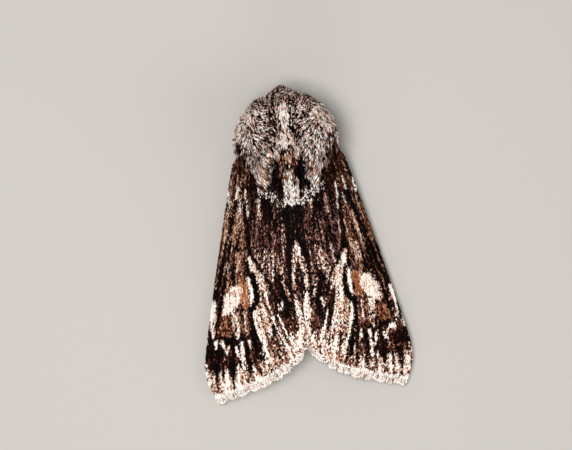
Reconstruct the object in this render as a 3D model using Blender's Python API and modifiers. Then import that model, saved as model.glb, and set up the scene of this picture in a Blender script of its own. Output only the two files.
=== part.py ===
"""Rannoch sprawler, a stout furry moth, at rest with its wings closed like a roof.

A still, life-size model with no joints.  +Z is up and the moth stands on z = 0.  Its head
points along -Y, its left side is +X, and the origin lies under the middle of its box.
Lengths are in millimetres here and turned to metres by place().  A station is a distance
behind the foremost hair of the head, measured along the body.
"""
import math

import bmesh
import bpy
from mathutils import Vector

MM = 0.001

# Whole animal
OVERALL_LENGTH = 29.9            # foremost hair of the head to the wing tips
GAP = 0.3                        # clearance between neighbouring pieces
SMOOTH_ANGLE = math.radians(50)  # sharper edges stay creased
MERGE_DISTANCE = 1e-6            # metres, between points that are one point
SECTION_POINTS = 24              # around the trunk and head
SECTION_POWER = 0.9              # 1 is an ellipse, less is squarer
PIECES = bpy.data.collections.new("rannoch_sprawler_moth")

# Thorax, out to the tips of its fur
THORAX_FRONT = 0.7
THORAX_WIDEST = 5.6
THORAX_REAR = 11.9
THORAX_HALF_WIDTH = 4.85
THORAX_TOP = 8.9
THORAX_UNDERSIDE = 2.0
THORAX_FRONT_DROP = 1.9          # how much lower the crest is over the face
THORAX_REAR_DROP = 1.6           # how much lower the tuft ends on the wings
THORAX_FRONT_LIFT = 5.0          # how much higher the chin of the collar is
THORAX_REAR_LIFT = 3.0           # how much the underside rises towards the rear
THORAX_FRONT_ROUNDNESS = 2.0     # 2 is round in plan, 1 is pointed
THORAX_REAR_ROUNDNESS = 1.6
THORAX_REAR_SAG = 2.2            # how late the back bends down to the tuft
THORAX_STATIONS = (0.95, 1.3, 1.85, 2.5, 3.2, 4.0, 4.8, 5.6, 6.4, 7.2, 8.0, 8.8)
WAIST = 9.55                     # station where the thorax ends below the wings
WAIST_STEP = 0.1                 # how far the waist's step leans back
TUFT_UNDERSIDE = 6.1             # underside of the rear tuft behind the waist
TUFT_UNDERSIDE_SLOPE = 0.36
TUFT_STATIONS = (10.2, 10.8, 11.3, 11.65, 11.86)
CREST_HEIGHT = 0.32
CREST_HALF_WIDTH = 0.9
FURROW_OFFSET = 2.0
FURROW_SHARE = 0.8               # depth of each furrow over the crest's height

# The slanted cut between head and thorax
NECK_STATION = 2.7
NECK_HEIGHT = 4.95
NECK_TILT = math.radians(30)     # from upright, leaning forward at the top

# Head, out to the tip of its frontal tuft
HEAD_HALF_WIDTH = 2.15
HEAD_WIDEST = 2.6                # station where the head is fully wide
HEAD_DEPTH = 3.2                 # station where the head is fully high
HEAD_BACK = 4.6
HEAD_RINGS = 14
HEAD_RING_CROWDING = 1.4         # over 1 puts more rings near the tuft
TUFT_HEIGHT = 5.2                # height of the frontal tuft's tip
TUFT_TIP_RADIUS = 0.04
HEAD_RISE = 1.7
HEAD_RISE_POWER = 0.9
HEAD_FALL = 2.7
HEAD_FALL_POWER = 0.8
HEAD_TOP_SPREAD = 0.22           # how much wider the head is at its crown than at its middle

# Eyes
EYE_RADIUS = 0.9
EYE_OFFSET = 1.55
EYE_STATION = 1.95
EYE_HEIGHT = 3.9
EYE_SEGMENTS = 16
EYE_RINGS = 10

# Abdomen, furred
ABDOMEN_FRONT = 9.9
ABDOMEN_FULL = 12.5
ABDOMEN_TIP = 22.8
ABDOMEN_HALF_WIDTH = 2.45
ABDOMEN_FLATNESS = 0.90          # half height over half width
ABDOMEN_CLEARANCE = 0.4          # belly above the floor
ABDOMEN_WAIST = 0.88             # share of the full width at the front
ABDOMEN_RINGS = 15
ABDOMEN_RING_CROWDING = 0.85     # under 1 puts more rings near the tip
ABDOMEN_SECTION_POINTS = 20
ABDOMEN_TAPER_START = 2.3        # how late the rear starts to narrow
ABDOMEN_TAPER_ROUNDNESS = 0.45
ABDOMEN_TIP_SHARE = 0.02         # of the taper's value, so that the tip is not a point
ABDOMEN_TIP_LIFT = 0.8           # how much higher the belly's tip is

# Forewings
WING_THICKNESS = 0.5
WING_ROOT = 6.2                  # station where the wing comes out from under the fur
WING_TORNUS = 24.7               # station where the two inner margins part
WING_APEX = 29.9
APEX_OFFSET = 8.5
COSTA_ROOT_OFFSET = 4.85         # front edge's distance from the midline at the root
COSTA_SPREAD = 0.272             # how fast the front edge leaves the midline
COSTA_CURVE = 0.0012             # how much it bends back in
COSTA_ROUNDING_FROM = 23.5
COSTA_ROUNDING_POWER = 2.6
WING_STRIP = 0.55                # least width of the wing beside the thorax
WING_TO_TRUNK = 0.5              # wing's inner edge from the widest line of the thorax
WING_TO_MIDLINE = 0.3            # inner edge behind the thorax, so that the undersides clear
RIDGE_PEAK = 11.5                # station where the two wings meet highest
RIDGE_HEIGHT = 7.2
RIDGE_FALL_FRONT = 0.085
RIDGE_DROP = 3.1
RIDGE_SAG = 1.35                 # how late the ridge falls towards the rear
COSTA_HEIGHT = 1.1
COSTA_ROOT_LIFT = 2.0
COSTA_LEVELLING = 3.2
ROOF_POWER = 1.6                 # 1 is a flat pitch, 2 a round vault
TERMEN_POWER = 0.55              # how full the outer margin is
WING_ROWS = 24
WING_COLUMNS = 12
SLOPE_STEP = 0.01                # row or column step that measures the surface's slope

# Hindwings, folded under the forewings
HINDWING_ROWS = 14
HINDWING_COLUMNS = 6
HINDWING_FROM = 0.20             # share of the forewing's rows
HINDWING_TO = 0.88
HINDWING_REACH_FRONT = 0.40      # share of the forewing's width, at the root and at the tip
HINDWING_REACH_REAR = 0.76
HINDWING_INSET = 0.75            # inner edge, measured from the forewing's inner edge
HINDWING_DEPTH = 0.86            # its outer surface below the forewing's outer surface

# Legs: stations of hip, knee, ankle and toe as (offset, station, height, radius)
FLAT_FOOT_HEIGHT = 0.16          # middle of a foot above the floor
FORELEG = ((1.0, 4.7, 1.25, 0.38), (3.0, 4.75, 1.5, 0.40),
           (3.1, 3.1, 0.75, 0.36), (2.4, 1.5, FLAT_FOOT_HEIGHT, 0.26))
MIDLEG = ((1.4, 6.4, 1.25, 0.38), (3.05, 7.1, 1.4, 0.42),
          (4.1, 9.5, 0.8, 0.36), (4.7, 12.9, FLAT_FOOT_HEIGHT, 0.26))
HINDLEG = ((1.5, 8.0, 1.25, 0.38), (3.0, 9.9, 1.35, 0.42), (3.7, 12.0, 1.3, 0.44),
           (4.3, 15.6, 0.8, 0.36), (5.1, 20.0, FLAT_FOOT_HEIGHT, 0.26))
LEG_POINTS = 16
FLAT_FOOT_POINTS = 3             # last points of a leg, level so that the foot lies flat

# Feelers, folded back under the front edges of the wings
ANTENNA_RADIUS = 0.26
ANTENNA_ROUTE = ((2.4, 1.5, 5.05), (2.9, 1.85, 4.4), (3.15, 2.5, 3.5), (3.4, 3.7, 2.55),
                 (3.75, 5.4, 2.1), (4.0, 7.2, 2.0), (4.5, 9.0, 1.75), (4.88, 10.8, 1.5),
                 (5.4, 12.8, 1.3), (5.8, 15.0, 1.1))
ANTENNA_POINTS = 26

# Mouth feelers
PALP_ROUTE = ((0.5, 2.0, 2.0), (0.5, 1.35, 2.25), (0.48, 0.8, 2.75))
PALP_RADII = (0.36, 0.36, 0.26)
PALP_POINTS = 7

TUBE_SIDES_SETTING = 2           # eight sides on a round tube


def clear_scene():
    """Remove every object that a new scene starts with."""
    for thing in list(bpy.data.objects):
        bpy.data.objects.remove(thing, do_unlink=True)


def place(offset, station, height):
    """Turn millimetres beside, behind and above into a point of the model in metres."""
    return Vector((offset, station - OVERALL_LENGTH / 2, height)) * MM


def finish(name, colour, roughness, metallic=0.0):
    """Make one plain surface from a linear colour."""
    material = bpy.data.materials.new(name)
    material.use_nodes = True
    shader = material.node_tree.nodes["Principled BSDF"]
    shader.inputs["Base Color"].default_value = (*colour, 1.0)
    shader.inputs["Roughness"].default_value = roughness
    shader.inputs["Metallic"].default_value = metallic
    return material


def add_piece(name, mesh, material):
    """Put a mesh into the model as one named, smooth piece."""
    mesh.materials.append(material)
    mesh.shade_smooth()
    mesh.set_sharp_from_angle(angle=SMOOTH_ANGLE)
    piece = bpy.data.objects.new(name, mesh)
    PIECES.objects.link(piece)
    return piece


def mesh_from(surface, name):
    """Turn a finished bmesh into a mesh."""
    mesh = bpy.data.meshes.new(name)
    surface.to_mesh(mesh)
    surface.free()
    return mesh


def signed_power(value, power):
    """Raise the size of a value to a power and keep its sign."""
    return math.copysign(abs(value) ** power, value)


def section(station, half_width, top, bottom, count=SECTION_POINTS, power=SECTION_POWER):
    """One closed cross-section of the body, as (offset, station, height) points."""
    middle = (top + bottom) / 2
    half_height = (top - bottom) / 2
    outline = []
    for step in range(count):
        angle = 2 * math.pi * (step + 0.5) / count
        across = half_width * signed_power(math.cos(angle), power)
        height = middle + half_height * signed_power(math.sin(angle), power)
        outline.append((across, station, height))
    return outline


def loft(sections):
    """Join a stack of equal cross-sections into one body closed by a point at each end."""
    body = bmesh.new()
    rows = [[body.verts.new(place(*point)) for point in outline] for outline in sections]
    for row, next_row in zip(rows, rows[1:]):
        for index in range(len(row)):
            after = (index + 1) % len(row)
            body.faces.new((row[index], row[after], next_row[after], next_row[index]))
    for row in (rows[0], rows[-1]):
        middle = sum((vertex.co for vertex in row), Vector()) / len(row)
        pole = body.verts.new(middle)
        for index in range(len(row)):
            body.faces.new((row[index], row[(index + 1) % len(row)], pole))
    bmesh.ops.recalc_face_normals(body, faces=body.faces)
    return body


def cut_flat(body, point, normal):
    """Remove what lies beyond a plane and close the cut with one flat face."""
    parts = list(body.verts) + list(body.edges) + list(body.faces)
    cut = bmesh.ops.bisect_plane(body, geom=parts, dist=MERGE_DISTANCE, plane_co=point,
                                 plane_no=normal, clear_outer=True)
    rim = [part for part in cut["geom_cut"] if isinstance(part, bmesh.types.BMEdge)]
    bmesh.ops.edgeloop_fill(body, edges=rim)
    bmesh.ops.recalc_face_normals(body, faces=body.faces)


def neck_plane(shift):
    """Point and rearward normal of the neck's cut, moved along the normal by shift."""
    normal = Vector((0.0, math.cos(NECK_TILT), math.sin(NECK_TILT)))
    return place(0.0, NECK_STATION, NECK_HEIGHT) + normal * shift * MM, normal


# ---------------------------------------------------------------- head and trunk

def thorax_half_width(station):
    """Half the furry trunk's width: a round front and a more pointed rear."""
    if station < THORAX_WIDEST:
        share = (THORAX_WIDEST - station) / (THORAX_WIDEST - THORAX_FRONT)
        power = THORAX_FRONT_ROUNDNESS
    else:
        share = (station - THORAX_WIDEST) / (THORAX_REAR - THORAX_WIDEST)
        power = THORAX_REAR_ROUNDNESS
    return THORAX_HALF_WIDTH * max(0.0, 1.0 - min(1.0, share) ** power) ** (1 / power)


def thorax_heights(station):
    """Top and underside of the furry trunk at a station."""
    if station < THORAX_WIDEST:
        share = (THORAX_WIDEST - station) / (THORAX_WIDEST - THORAX_FRONT)
        top = THORAX_TOP - THORAX_FRONT_DROP * share ** 2
        return top, THORAX_UNDERSIDE + THORAX_FRONT_LIFT * share ** 3
    share = (station - THORAX_WIDEST) / (THORAX_REAR - THORAX_WIDEST)
    top = THORAX_TOP - THORAX_REAR_DROP * share ** THORAX_REAR_SAG
    if station <= WAIST:
        return top, THORAX_UNDERSIDE + THORAX_REAR_LIFT * share ** 3
    return top, TUFT_UNDERSIDE + TUFT_UNDERSIDE_SLOPE * (station - WAIST)


def crest_relief(offset):
    """Height that the mid-line crest adds, less the furrow on each side of it."""
    crest = math.exp(-(offset / CREST_HALF_WIDTH) ** 2)
    furrow = math.exp(-((abs(offset) - FURROW_OFFSET) / CREST_HALF_WIDTH) ** 2)
    return CREST_HEIGHT * (crest - FURROW_SHARE * furrow)


def build_thorax(material):
    """The trunk between head and waist, with collar, shoulder lobes and rear tuft."""
    outlines = []
    for station in (*THORAX_STATIONS, WAIST, WAIST + WAIST_STEP, *TUFT_STATIONS):
        outline = []
        for offset, along, height in section(station, thorax_half_width(station),
                                             *thorax_heights(station)):
            if height > TUFT_UNDERSIDE:
                height += crest_relief(offset)
            outline.append((offset, along, height))
        outlines.append(outline)
    body = loft(outlines)
    point, normal = neck_plane(GAP / 2)
    cut_flat(body, point, -normal)
    return add_piece("thorax", mesh_from(body, "thorax"), material)


def build_head(material, sockets):
    """The head with its pointed frontal tuft, hollowed where the eyes sit."""
    outlines = []
    for step in range(HEAD_RINGS + 1):
        station = HEAD_BACK * (step / HEAD_RINGS) ** HEAD_RING_CROWDING
        widened = math.sin(math.pi / 2 * min(1.0, station / HEAD_WIDEST))
        grown = math.sin(math.pi / 2 * min(1.0, station / HEAD_DEPTH))
        width = HEAD_HALF_WIDTH * widened + TUFT_TIP_RADIUS
        top = TUFT_HEIGHT + TUFT_TIP_RADIUS + HEAD_RISE * grown ** HEAD_RISE_POWER
        bottom = TUFT_HEIGHT - TUFT_TIP_RADIUS - HEAD_FALL * grown ** HEAD_FALL_POWER
        middle = (top + bottom) / 2
        outline = []
        for offset, along, height in section(station, width, top, bottom):
            lean = (height - middle) / (top - middle)
            outline.append((offset * (1 + HEAD_TOP_SPREAD * lean), along, height))
        outlines.append(outline)
    body = loft(outlines)
    point, normal = neck_plane(-GAP / 2)
    cut_flat(body, point, normal)
    head = add_piece("head", mesh_from(body, "head"), material)
    for socket in sockets:
        cut = head.modifiers.new("eye_socket", "BOOLEAN")
        cut.operation = "DIFFERENCE"
        cut.solver = "EXACT"
        cut.object = socket
    return head


def ball(name, centre, radius, material):
    """A round ball at a place, kept out of the model where it has no material."""
    body = bmesh.new()
    bmesh.ops.create_uvsphere(body, u_segments=EYE_SEGMENTS, v_segments=EYE_RINGS,
                              radius=radius * MM)
    bmesh.ops.translate(body, verts=body.verts, vec=place(*centre))
    mesh = mesh_from(body, name)
    if material is None:
        return bpy.data.objects.new(name, mesh)
    return add_piece(name, mesh, material)


def build_eyes(material):
    """Two round eyes."""
    for label, side in (("L", 1), ("R", -1)):
        ball(f"eye_{label}", (side * EYE_OFFSET, EYE_STATION, EYE_HEIGHT), EYE_RADIUS, material)


def build_sockets(cutters):
    """The hollows that hold the eyes, a clearance wider than the eyes."""
    sockets = []
    for label, side in (("L", 1), ("R", -1)):
        centre = (side * EYE_OFFSET, EYE_STATION, EYE_HEIGHT)
        socket = ball(f"socket_cutter_{label}", centre, EYE_RADIUS + GAP, None)
        cutters.objects.link(socket)
        socket.hide_render = True
        socket.display_type = "WIRE"
        sockets.append(socket)
    return sockets


def build_abdomen(material):
    """The furry abdomen, low under the wings, ending short of their inner corners."""
    outlines = []
    for step in range(ABDOMEN_RINGS + 1):
        share = (step / ABDOMEN_RINGS) ** ABDOMEN_RING_CROWDING
        station = ABDOMEN_FRONT + (ABDOMEN_TIP - ABDOMEN_FRONT) * share
        if station < ABDOMEN_FULL:
            rise = (station - ABDOMEN_FRONT) / (ABDOMEN_FULL - ABDOMEN_FRONT)
            width = ABDOMEN_WAIST + (1 - ABDOMEN_WAIST) * math.sin(math.pi / 2 * rise)
        else:
            run = (station - ABDOMEN_FULL) / (ABDOMEN_TIP - ABDOMEN_FULL)
            taper = max(ABDOMEN_TIP_SHARE, 1 - run ** ABDOMEN_TAPER_START)
            width = taper ** ABDOMEN_TAPER_ROUNDNESS
        half_width = ABDOMEN_HALF_WIDTH * width
        half_height = half_width * ABDOMEN_FLATNESS
        bottom = ABDOMEN_CLEARANCE + ABDOMEN_TIP_LIFT * (1 - width)
        outlines.append(section(station, half_width, bottom + 2 * half_height, bottom,
                                ABDOMEN_SECTION_POINTS, 1.0))
    return add_piece("abdomen", mesh_from(loft(outlines), "abdomen"), material)


# ---------------------------------------------------------------- wings

def costa_offset(station):
    """Distance from the midline to the forewing's front edge, rounded off at the tip."""
    run = station - WING_ROOT
    offset = COSTA_ROOT_OFFSET + COSTA_SPREAD * run - COSTA_CURVE * run ** 2
    if station > COSTA_ROUNDING_FROM:
        share = (station - COSTA_ROUNDING_FROM) / (WING_APEX - COSTA_ROUNDING_FROM)
        tip = offset - APEX_OFFSET
        offset -= tip * share ** COSTA_ROUNDING_POWER
    return offset


def inner_offset(station):
    """Distance from the midline to the forewing's inner edge, clear of the trunk."""
    if station > THORAX_REAR:
        return WING_TO_MIDLINE
    beside_trunk = thorax_half_width(station) + WING_TO_TRUNK
    return min(beside_trunk, costa_offset(station) - WING_STRIP)


def ridge_height(station):
    """Height at which the two wings would meet over the midline."""
    if station < RIDGE_PEAK:
        return RIDGE_HEIGHT - RIDGE_FALL_FRONT * (RIDGE_PEAK - station) ** 2
    share = (station - RIDGE_PEAK) / (WING_TORNUS - RIDGE_PEAK)
    return RIDGE_HEIGHT - RIDGE_DROP * share ** RIDGE_SAG


def costa_height(station):
    """Height of the forewing's front edge: high at the root, then close to the floor."""
    return COSTA_HEIGHT + COSTA_ROOT_LIFT * math.exp(-(station - WING_ROOT) / COSTA_LEVELLING)


def wing_point(row, column):
    """A point of the left forewing's outer surface: row 0 to 1 from root to margin,
    column 0 to 1 from inner edge to front edge."""
    inner_station = WING_ROOT + (WING_TORNUS - WING_ROOT) * row
    outer_station = WING_ROOT + (WING_APEX - WING_ROOT) * row
    inner = inner_offset(inner_station)
    outer = costa_offset(outer_station)
    offset = inner + (outer - inner) * column
    fullness = 1.0 + (TERMEN_POWER - 1.0) * row ** 2
    station = inner_station + (outer_station - inner_station) * column ** fullness
    fall = 1 - (offset / outer) ** ROOF_POWER
    low = costa_height(outer_station)
    return offset, station, low + (ridge_height(inner_station) - low) * fall


def wing_normal(row, column):
    """Outward direction of the left forewing's surface at a point."""
    row_step = SLOPE_STEP if row < 0.5 else -SLOPE_STEP
    column_step = SLOPE_STEP if column < 0.5 else -SLOPE_STEP
    here = Vector(wing_point(row, column))
    along = Vector(wing_point(row + row_step, column)) - here
    across = Vector(wing_point(row, column + column_step)) - here
    normal = along.cross(across).normalized()
    return normal if normal.z > 0 else -normal


def sheet(points, side):
    """An open surface through a grid of points, its faces looking up."""
    surface = bmesh.new()
    grid = [[surface.verts.new(place(side * offset, station, height))
             for offset, station, height in row] for row in points]
    for row, next_row in zip(grid, grid[1:]):
        for index in range(len(row) - 1):
            corners = [row[index], row[index + 1], next_row[index + 1], next_row[index]]
            surface.faces.new(corners if side > 0 else corners[::-1])
    return surface


def thicken(piece):
    """Give a wing its thickness, below its outer surface."""
    wall = piece.modifiers.new("wing_wall", "SOLIDIFY")
    wall.thickness = WING_THICKNESS * MM
    wall.offset = -1.0


def build_forewing(label, side, material):
    """One forewing: a curved sheet from the shoulder to the scalloped outer margin."""
    points = []
    for step in range(WING_ROWS + 1):
        row = step / WING_ROWS
        points.append([wing_point(row, column / WING_COLUMNS)
                       for column in range(WING_COLUMNS + 1)])
    name = f"forewing_{label}"
    wing = add_piece(name, mesh_from(sheet(points, side), name), material)
    thicken(wing)
    return wing


def build_hindwing(label, side, material):
    """One hindwing, folded flat under the forewing and clear of it."""
    points = []
    for step in range(HINDWING_ROWS + 1):
        row = HINDWING_FROM + (HINDWING_TO - HINDWING_FROM) * step / HINDWING_ROWS
        inner, _, _ = wing_point(row, 0.0)
        outer, _, _ = wing_point(row, 1.0)
        first = HINDWING_INSET / (outer - inner)
        grown = math.sin(math.pi / 2 * step / HINDWING_ROWS)
        last = HINDWING_REACH_FRONT + (HINDWING_REACH_REAR - HINDWING_REACH_FRONT) * grown
        line = []
        for index in range(HINDWING_COLUMNS + 1):
            column = first + (last - first) * index / HINDWING_COLUMNS
            under = wing_normal(row, column) * HINDWING_DEPTH
            line.append(Vector(wing_point(row, column)) - under)
        points.append(line)
    name = f"hindwing_{label}"
    wing = add_piece(name, mesh_from(sheet(points, side), name), material)
    thicken(wing)
    return wing


# ---------------------------------------------------------------- legs and feelers

def smooth_route(stops, count):
    """Points spaced along a smooth curve through the given stops, number by number."""
    padded = [stops[0], *stops, stops[-1]]
    route = []
    for step in range(count):
        position = step * (len(stops) - 1) / (count - 1)
        index = min(int(position), len(stops) - 2)
        share = position - index
        values = []
        for before, start, end, after in zip(*padded[index:index + 4]):
            bend = 2 * before - 5 * start + 4 * end - after
            twist = -before + 3 * start - 3 * end + after
            values.append(0.5 * (2 * start + (end - before) * share
                                 + bend * share ** 2 + twist * share ** 3))
        route.append(values)
    return route


def tube(name, route, side):
    """A closed round tube along (offset, station, height, radius) points."""
    curve = bpy.data.curves.new(name, "CURVE")
    curve.dimensions = "3D"
    curve.bevel_depth = MM
    curve.bevel_resolution = TUBE_SIDES_SETTING
    curve.use_fill_caps = True
    spline = curve.splines.new("POLY")
    spline.points.add(len(route) - 1)
    for point, (offset, station, height, radius) in zip(spline.points, route):
        point.co = (*place(side * offset, station, height), 1.0)
        point.radius = radius
    guide = bpy.data.objects.new(name + "_guide", curve)
    PIECES.objects.link(guide)
    bpy.context.view_layer.update()
    shape = guide.evaluated_get(bpy.context.evaluated_depsgraph_get())
    body = bmesh.new()
    body.from_mesh(bpy.data.meshes.new_from_object(shape))
    bmesh.ops.remove_doubles(body, verts=body.verts, dist=MERGE_DISTANCE)
    bmesh.ops.recalc_face_normals(body, faces=body.faces)
    bpy.data.objects.remove(guide, do_unlink=True)
    return body


def build_leg(name, stops, side, material):
    """One leg from hip to toe, its foot cut flat at the floor."""
    route = smooth_route(stops, LEG_POINTS)
    for point in route[-FLAT_FOOT_POINTS:]:
        point[2] = FLAT_FOOT_HEIGHT
    body = tube(name, route, side)
    cut_flat(body, Vector(), Vector((0.0, 0.0, -1.0)))
    return add_piece(name, mesh_from(body, name), material)


def build_antenna(label, side, material):
    """One feeler, from beside the frontal tuft back under the wing's front edge."""
    stops = [(*stop, ANTENNA_RADIUS) for stop in ANTENNA_ROUTE]
    name = f"antenna_{label}"
    body = tube(name, smooth_route(stops, ANTENNA_POINTS), side)
    return add_piece(name, mesh_from(body, name), material)


def build_palp(label, side, material):
    """One short mouth feeler below the face."""
    stops = [(*stop, radius) for stop, radius in zip(PALP_ROUTE, PALP_RADII)]
    name = f"palp_{label}"
    body = tube(name, smooth_route(stops, PALP_POINTS), side)
    return add_piece(name, mesh_from(body, name), material)


def main():
    """Build the whole moth."""
    clear_scene()
    bpy.context.scene.collection.children.link(PIECES)
    cutters = bpy.data.collections.new("cutters")
    bpy.context.scene.collection.children.link(cutters)
    fur = finish("trunk_fur", (0.17, 0.13, 0.115), 0.9)
    face_fur = finish("head_fur", (0.19, 0.15, 0.13), 0.9)
    belly_fur = finish("abdomen_fur", (0.21, 0.16, 0.13), 0.9)
    eye = finish("eye", (0.02, 0.012, 0.008), 0.18)
    forewing = finish("forewing_scales", (0.12, 0.075, 0.055), 0.7)
    hindwing = finish("hindwing_scales", (0.45, 0.38, 0.32), 0.7)
    leg = finish("leg_scales", (0.14, 0.1, 0.08), 0.8)
    feeler = finish("feeler_scales", (0.16, 0.11, 0.085), 0.7)
    build_thorax(fur)
    build_head(face_fur, build_sockets(cutters))
    build_eyes(eye)
    build_abdomen(belly_fur)
    for label, side in (("L", 1), ("R", -1)):
        build_forewing(label, side, forewing)
        build_hindwing(label, side, hindwing)
        build_antenna(label, side, feeler)
        build_palp(label, side, feeler)
        build_leg(f"foreleg_{label}", FORELEG, side, leg)
        build_leg(f"midleg_{label}", MIDLEG, side, leg)
        build_leg(f"hindleg_{label}", HINDLEG, side, leg)


main()
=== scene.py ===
"""Looks of a Rannoch sprawler, a stout furry moth at rest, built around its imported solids.

Lengths are millimetres in the body's own frame: offset (x, the moth's left is +), station
(distance behind the foremost hair) and height.  place() turns them into metres of the model.
"""

import logging
import math
from dataclasses import dataclass
from enum import Enum
from typing import Any, Callable, Sequence

import bmesh
import bpy
import numpy as np
from bpy.types import Material, Mesh, Node, NodeSocket, NodeTree, Object
from mathutils import Matrix, Vector

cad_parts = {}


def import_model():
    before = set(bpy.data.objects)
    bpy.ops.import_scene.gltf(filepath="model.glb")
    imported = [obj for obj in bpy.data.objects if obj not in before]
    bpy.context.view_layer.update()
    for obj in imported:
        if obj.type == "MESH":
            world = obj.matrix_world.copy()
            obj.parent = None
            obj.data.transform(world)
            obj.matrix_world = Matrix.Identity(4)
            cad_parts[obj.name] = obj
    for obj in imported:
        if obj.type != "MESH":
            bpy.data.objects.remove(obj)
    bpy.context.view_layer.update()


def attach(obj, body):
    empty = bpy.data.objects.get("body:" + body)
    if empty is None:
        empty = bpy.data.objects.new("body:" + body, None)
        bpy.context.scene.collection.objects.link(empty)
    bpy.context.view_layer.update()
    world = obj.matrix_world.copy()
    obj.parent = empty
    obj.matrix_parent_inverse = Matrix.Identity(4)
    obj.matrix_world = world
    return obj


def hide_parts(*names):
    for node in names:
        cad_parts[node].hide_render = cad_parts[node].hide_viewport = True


LOG = logging.getLogger("moth")
MM = 0.001
LENGTH = 29.9                    # foremost hair of the head to the wing tips
BODY = "root"
UNWRAP = "OFBake"                # name of the map that holds each vane's own patch
PATCH = 0.003                    # width of a vane's patch on the unwrap
PATCH_MARGIN = 0.01              # clear edge of the unwrap
COAT_RUN = 14.0                  # length of body that a coat's unwrap stands for
HAIR_SHOWS_AT = 0.25             # share of a hair back from its tip, where its tone is read
SCALE_SHOWS_AT = 0.7             # share of a scale out from its root, where its tone is read
VANE_ATTRIBUTES = ("chord", "normal", "size", "root_spot", "vane_spot")
SIDES = (("L", 1), ("R", -1))
EYE_CENTRE = (1.55, 1.95, 3.9)
FLOOR_GAP = 0.02                 # how far the bare feet stay above the floor
Array = np.ndarray
Span = tuple[float, float, float, float]    # first and last share along, then across


# ------------------------------------------------------------------ helpers

def place(points: Array) -> Array:
    """Turn (offset, station, height) in millimetres into metres of the model."""
    return (np.asarray(points, float) - (0.0, LENGTH / 2, 0.0)) * MM


def linear(hex_colour: str) -> tuple[float, float, float]:
    """Turn an sRGB hex colour into linear red, green and blue."""
    values = [int(hex_colour[start:start + 2], 16) / 255 for start in (1, 3, 5)]
    return tuple(v / 12.92 if v <= 0.04045 else ((v + 0.055) / 1.055) ** 2.4 for v in values)


def ease(value: Array, low: float, high: float) -> Array:
    """Ease from 0 at low to 1 at high."""
    share = np.clip((value - low) / (high - low), 0.0, 1.0)
    return share * share * (3 - 2 * share)


def signed_power(value: Array, power: float) -> Array:
    """Raise the size of each value to a power and keep its sign."""
    return np.sign(value) * np.abs(value) ** power


def beside(*columns: Array) -> Array:
    """Set columns side by side, so that each row is one vane's or point's."""
    return np.column_stack(columns)


def unit(vectors: Array) -> Array:
    """Scale each row to length 1."""
    return vectors / np.maximum(np.linalg.norm(vectors, axis=1, keepdims=True), 1e-12)


def lattice(column: Array, row: Array, seed: int) -> Array:
    """A repeatable value from -1 to 1 for each cell of a plane."""
    column, row = np.floor(column).astype(np.int64), np.floor(row).astype(np.int64)
    mixed = (column * 374761393 + row * 668265263 + seed * 974634777) & 0xFFFFFFFF
    mixed = ((mixed ^ (mixed >> 13)) * 1274126177) & 0xFFFFFFFF
    return ((mixed ^ (mixed >> 16)) & 0xFFFFFFFF) / 0x7FFFFFFF - 1.0


def value_noise(x: Array, y: Array, seed: int) -> Array:
    """Smooth repeatable noise over a plane, one lattice cell for each unit.

    Args:
        x: first coordinate, in cells.
        y: second coordinate, in cells.
        seed: picks the lattice's values.

    Returns:
        Values from -1 to 1.
    """
    across, down = ease(x % 1.0, 0, 1), ease(y % 1.0, 0, 1)
    upper = lattice(x, y, seed) * (1 - across) + lattice(x + 1, y, seed) * across
    lower = lattice(x, y + 1, seed) * (1 - across) + lattice(x + 1, y + 1, seed) * across
    return upper * (1 - down) + lower * down


def smooth_route(stops: Sequence[Sequence[float]], count: int) -> Array:
    """Points spaced along a smooth curve through the given stops.

    Args:
        stops: rows of numbers that the curve passes through.
        count: how many rows to return.

    Returns:
        An array of count rows.
    """
    rows = np.array([stops[0], *stops, stops[-1]], float)
    position = np.linspace(0.0, len(stops) - 1, count)
    index = np.minimum(position.astype(int), len(stops) - 2)
    share = (position - index)[:, None]
    before, start, end, after = (rows[index + shift] for shift in range(4))
    bend = 2 * before - 5 * start + 4 * end - after
    twist = -before + 3 * start - 3 * end + after
    return 0.5 * (2 * start + (end - before) * share + bend * share ** 2 + twist * share ** 3)


def add_node(tree: NodeTree, kind: str, inputs: dict[Any, Any] | None = None,
             **settings: Any) -> Node:
    """Add a node with its settings, values and links.

    Args:
        tree: the node tree that gets it.
        kind: Blender's name of the node's type.
        inputs: value or output socket for each input, by the input's name or number.
        **settings: the node's own properties.

    Returns:
        The new node.
    """
    node = tree.nodes.new(kind)
    for name, value in settings.items():
        setattr(node, name, value)
    wire(node, inputs or {})
    return node


def wire(node: Node, inputs: dict[Any, Any]) -> None:
    """Set or link a node's inputs.

    Args:
        node: the node.
        inputs: value or output socket for each input, by the input's name or number.
    """
    for key, value in inputs.items():
        if isinstance(value, NodeSocket):
            node.id_data.links.new(value, node.inputs[key])
        else:
            node.inputs[key].default_value = value


def set_attribute(mesh: Mesh, name: str, values: Array) -> None:
    """Store numbers, vectors or colours for the vertices under a name.

    Args:
        mesh: the mesh that gets them.
        name: the attribute's name.
        values: one number, or a row of three or four, for each vertex.
    """
    width = 1 if values.ndim == 1 else values.shape[1]
    kind, field = {1: ("FLOAT", "value"), 3: ("FLOAT_VECTOR", "vector"),
                   4: ("FLOAT_COLOR", "color")}[width]
    made = mesh.attributes.new(name, kind, "POINT")
    made.data.foreach_set(field, np.ascontiguousarray(values, np.float32).ravel())


def with_alpha(colours: Array) -> Array:
    """Add a fourth column of ones to rows of linear colour."""
    return beside(colours, np.ones(len(colours)))


def link(added: Object) -> None:
    """Put an object into the scene."""
    bpy.context.scene.collection.objects.link(added)


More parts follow.
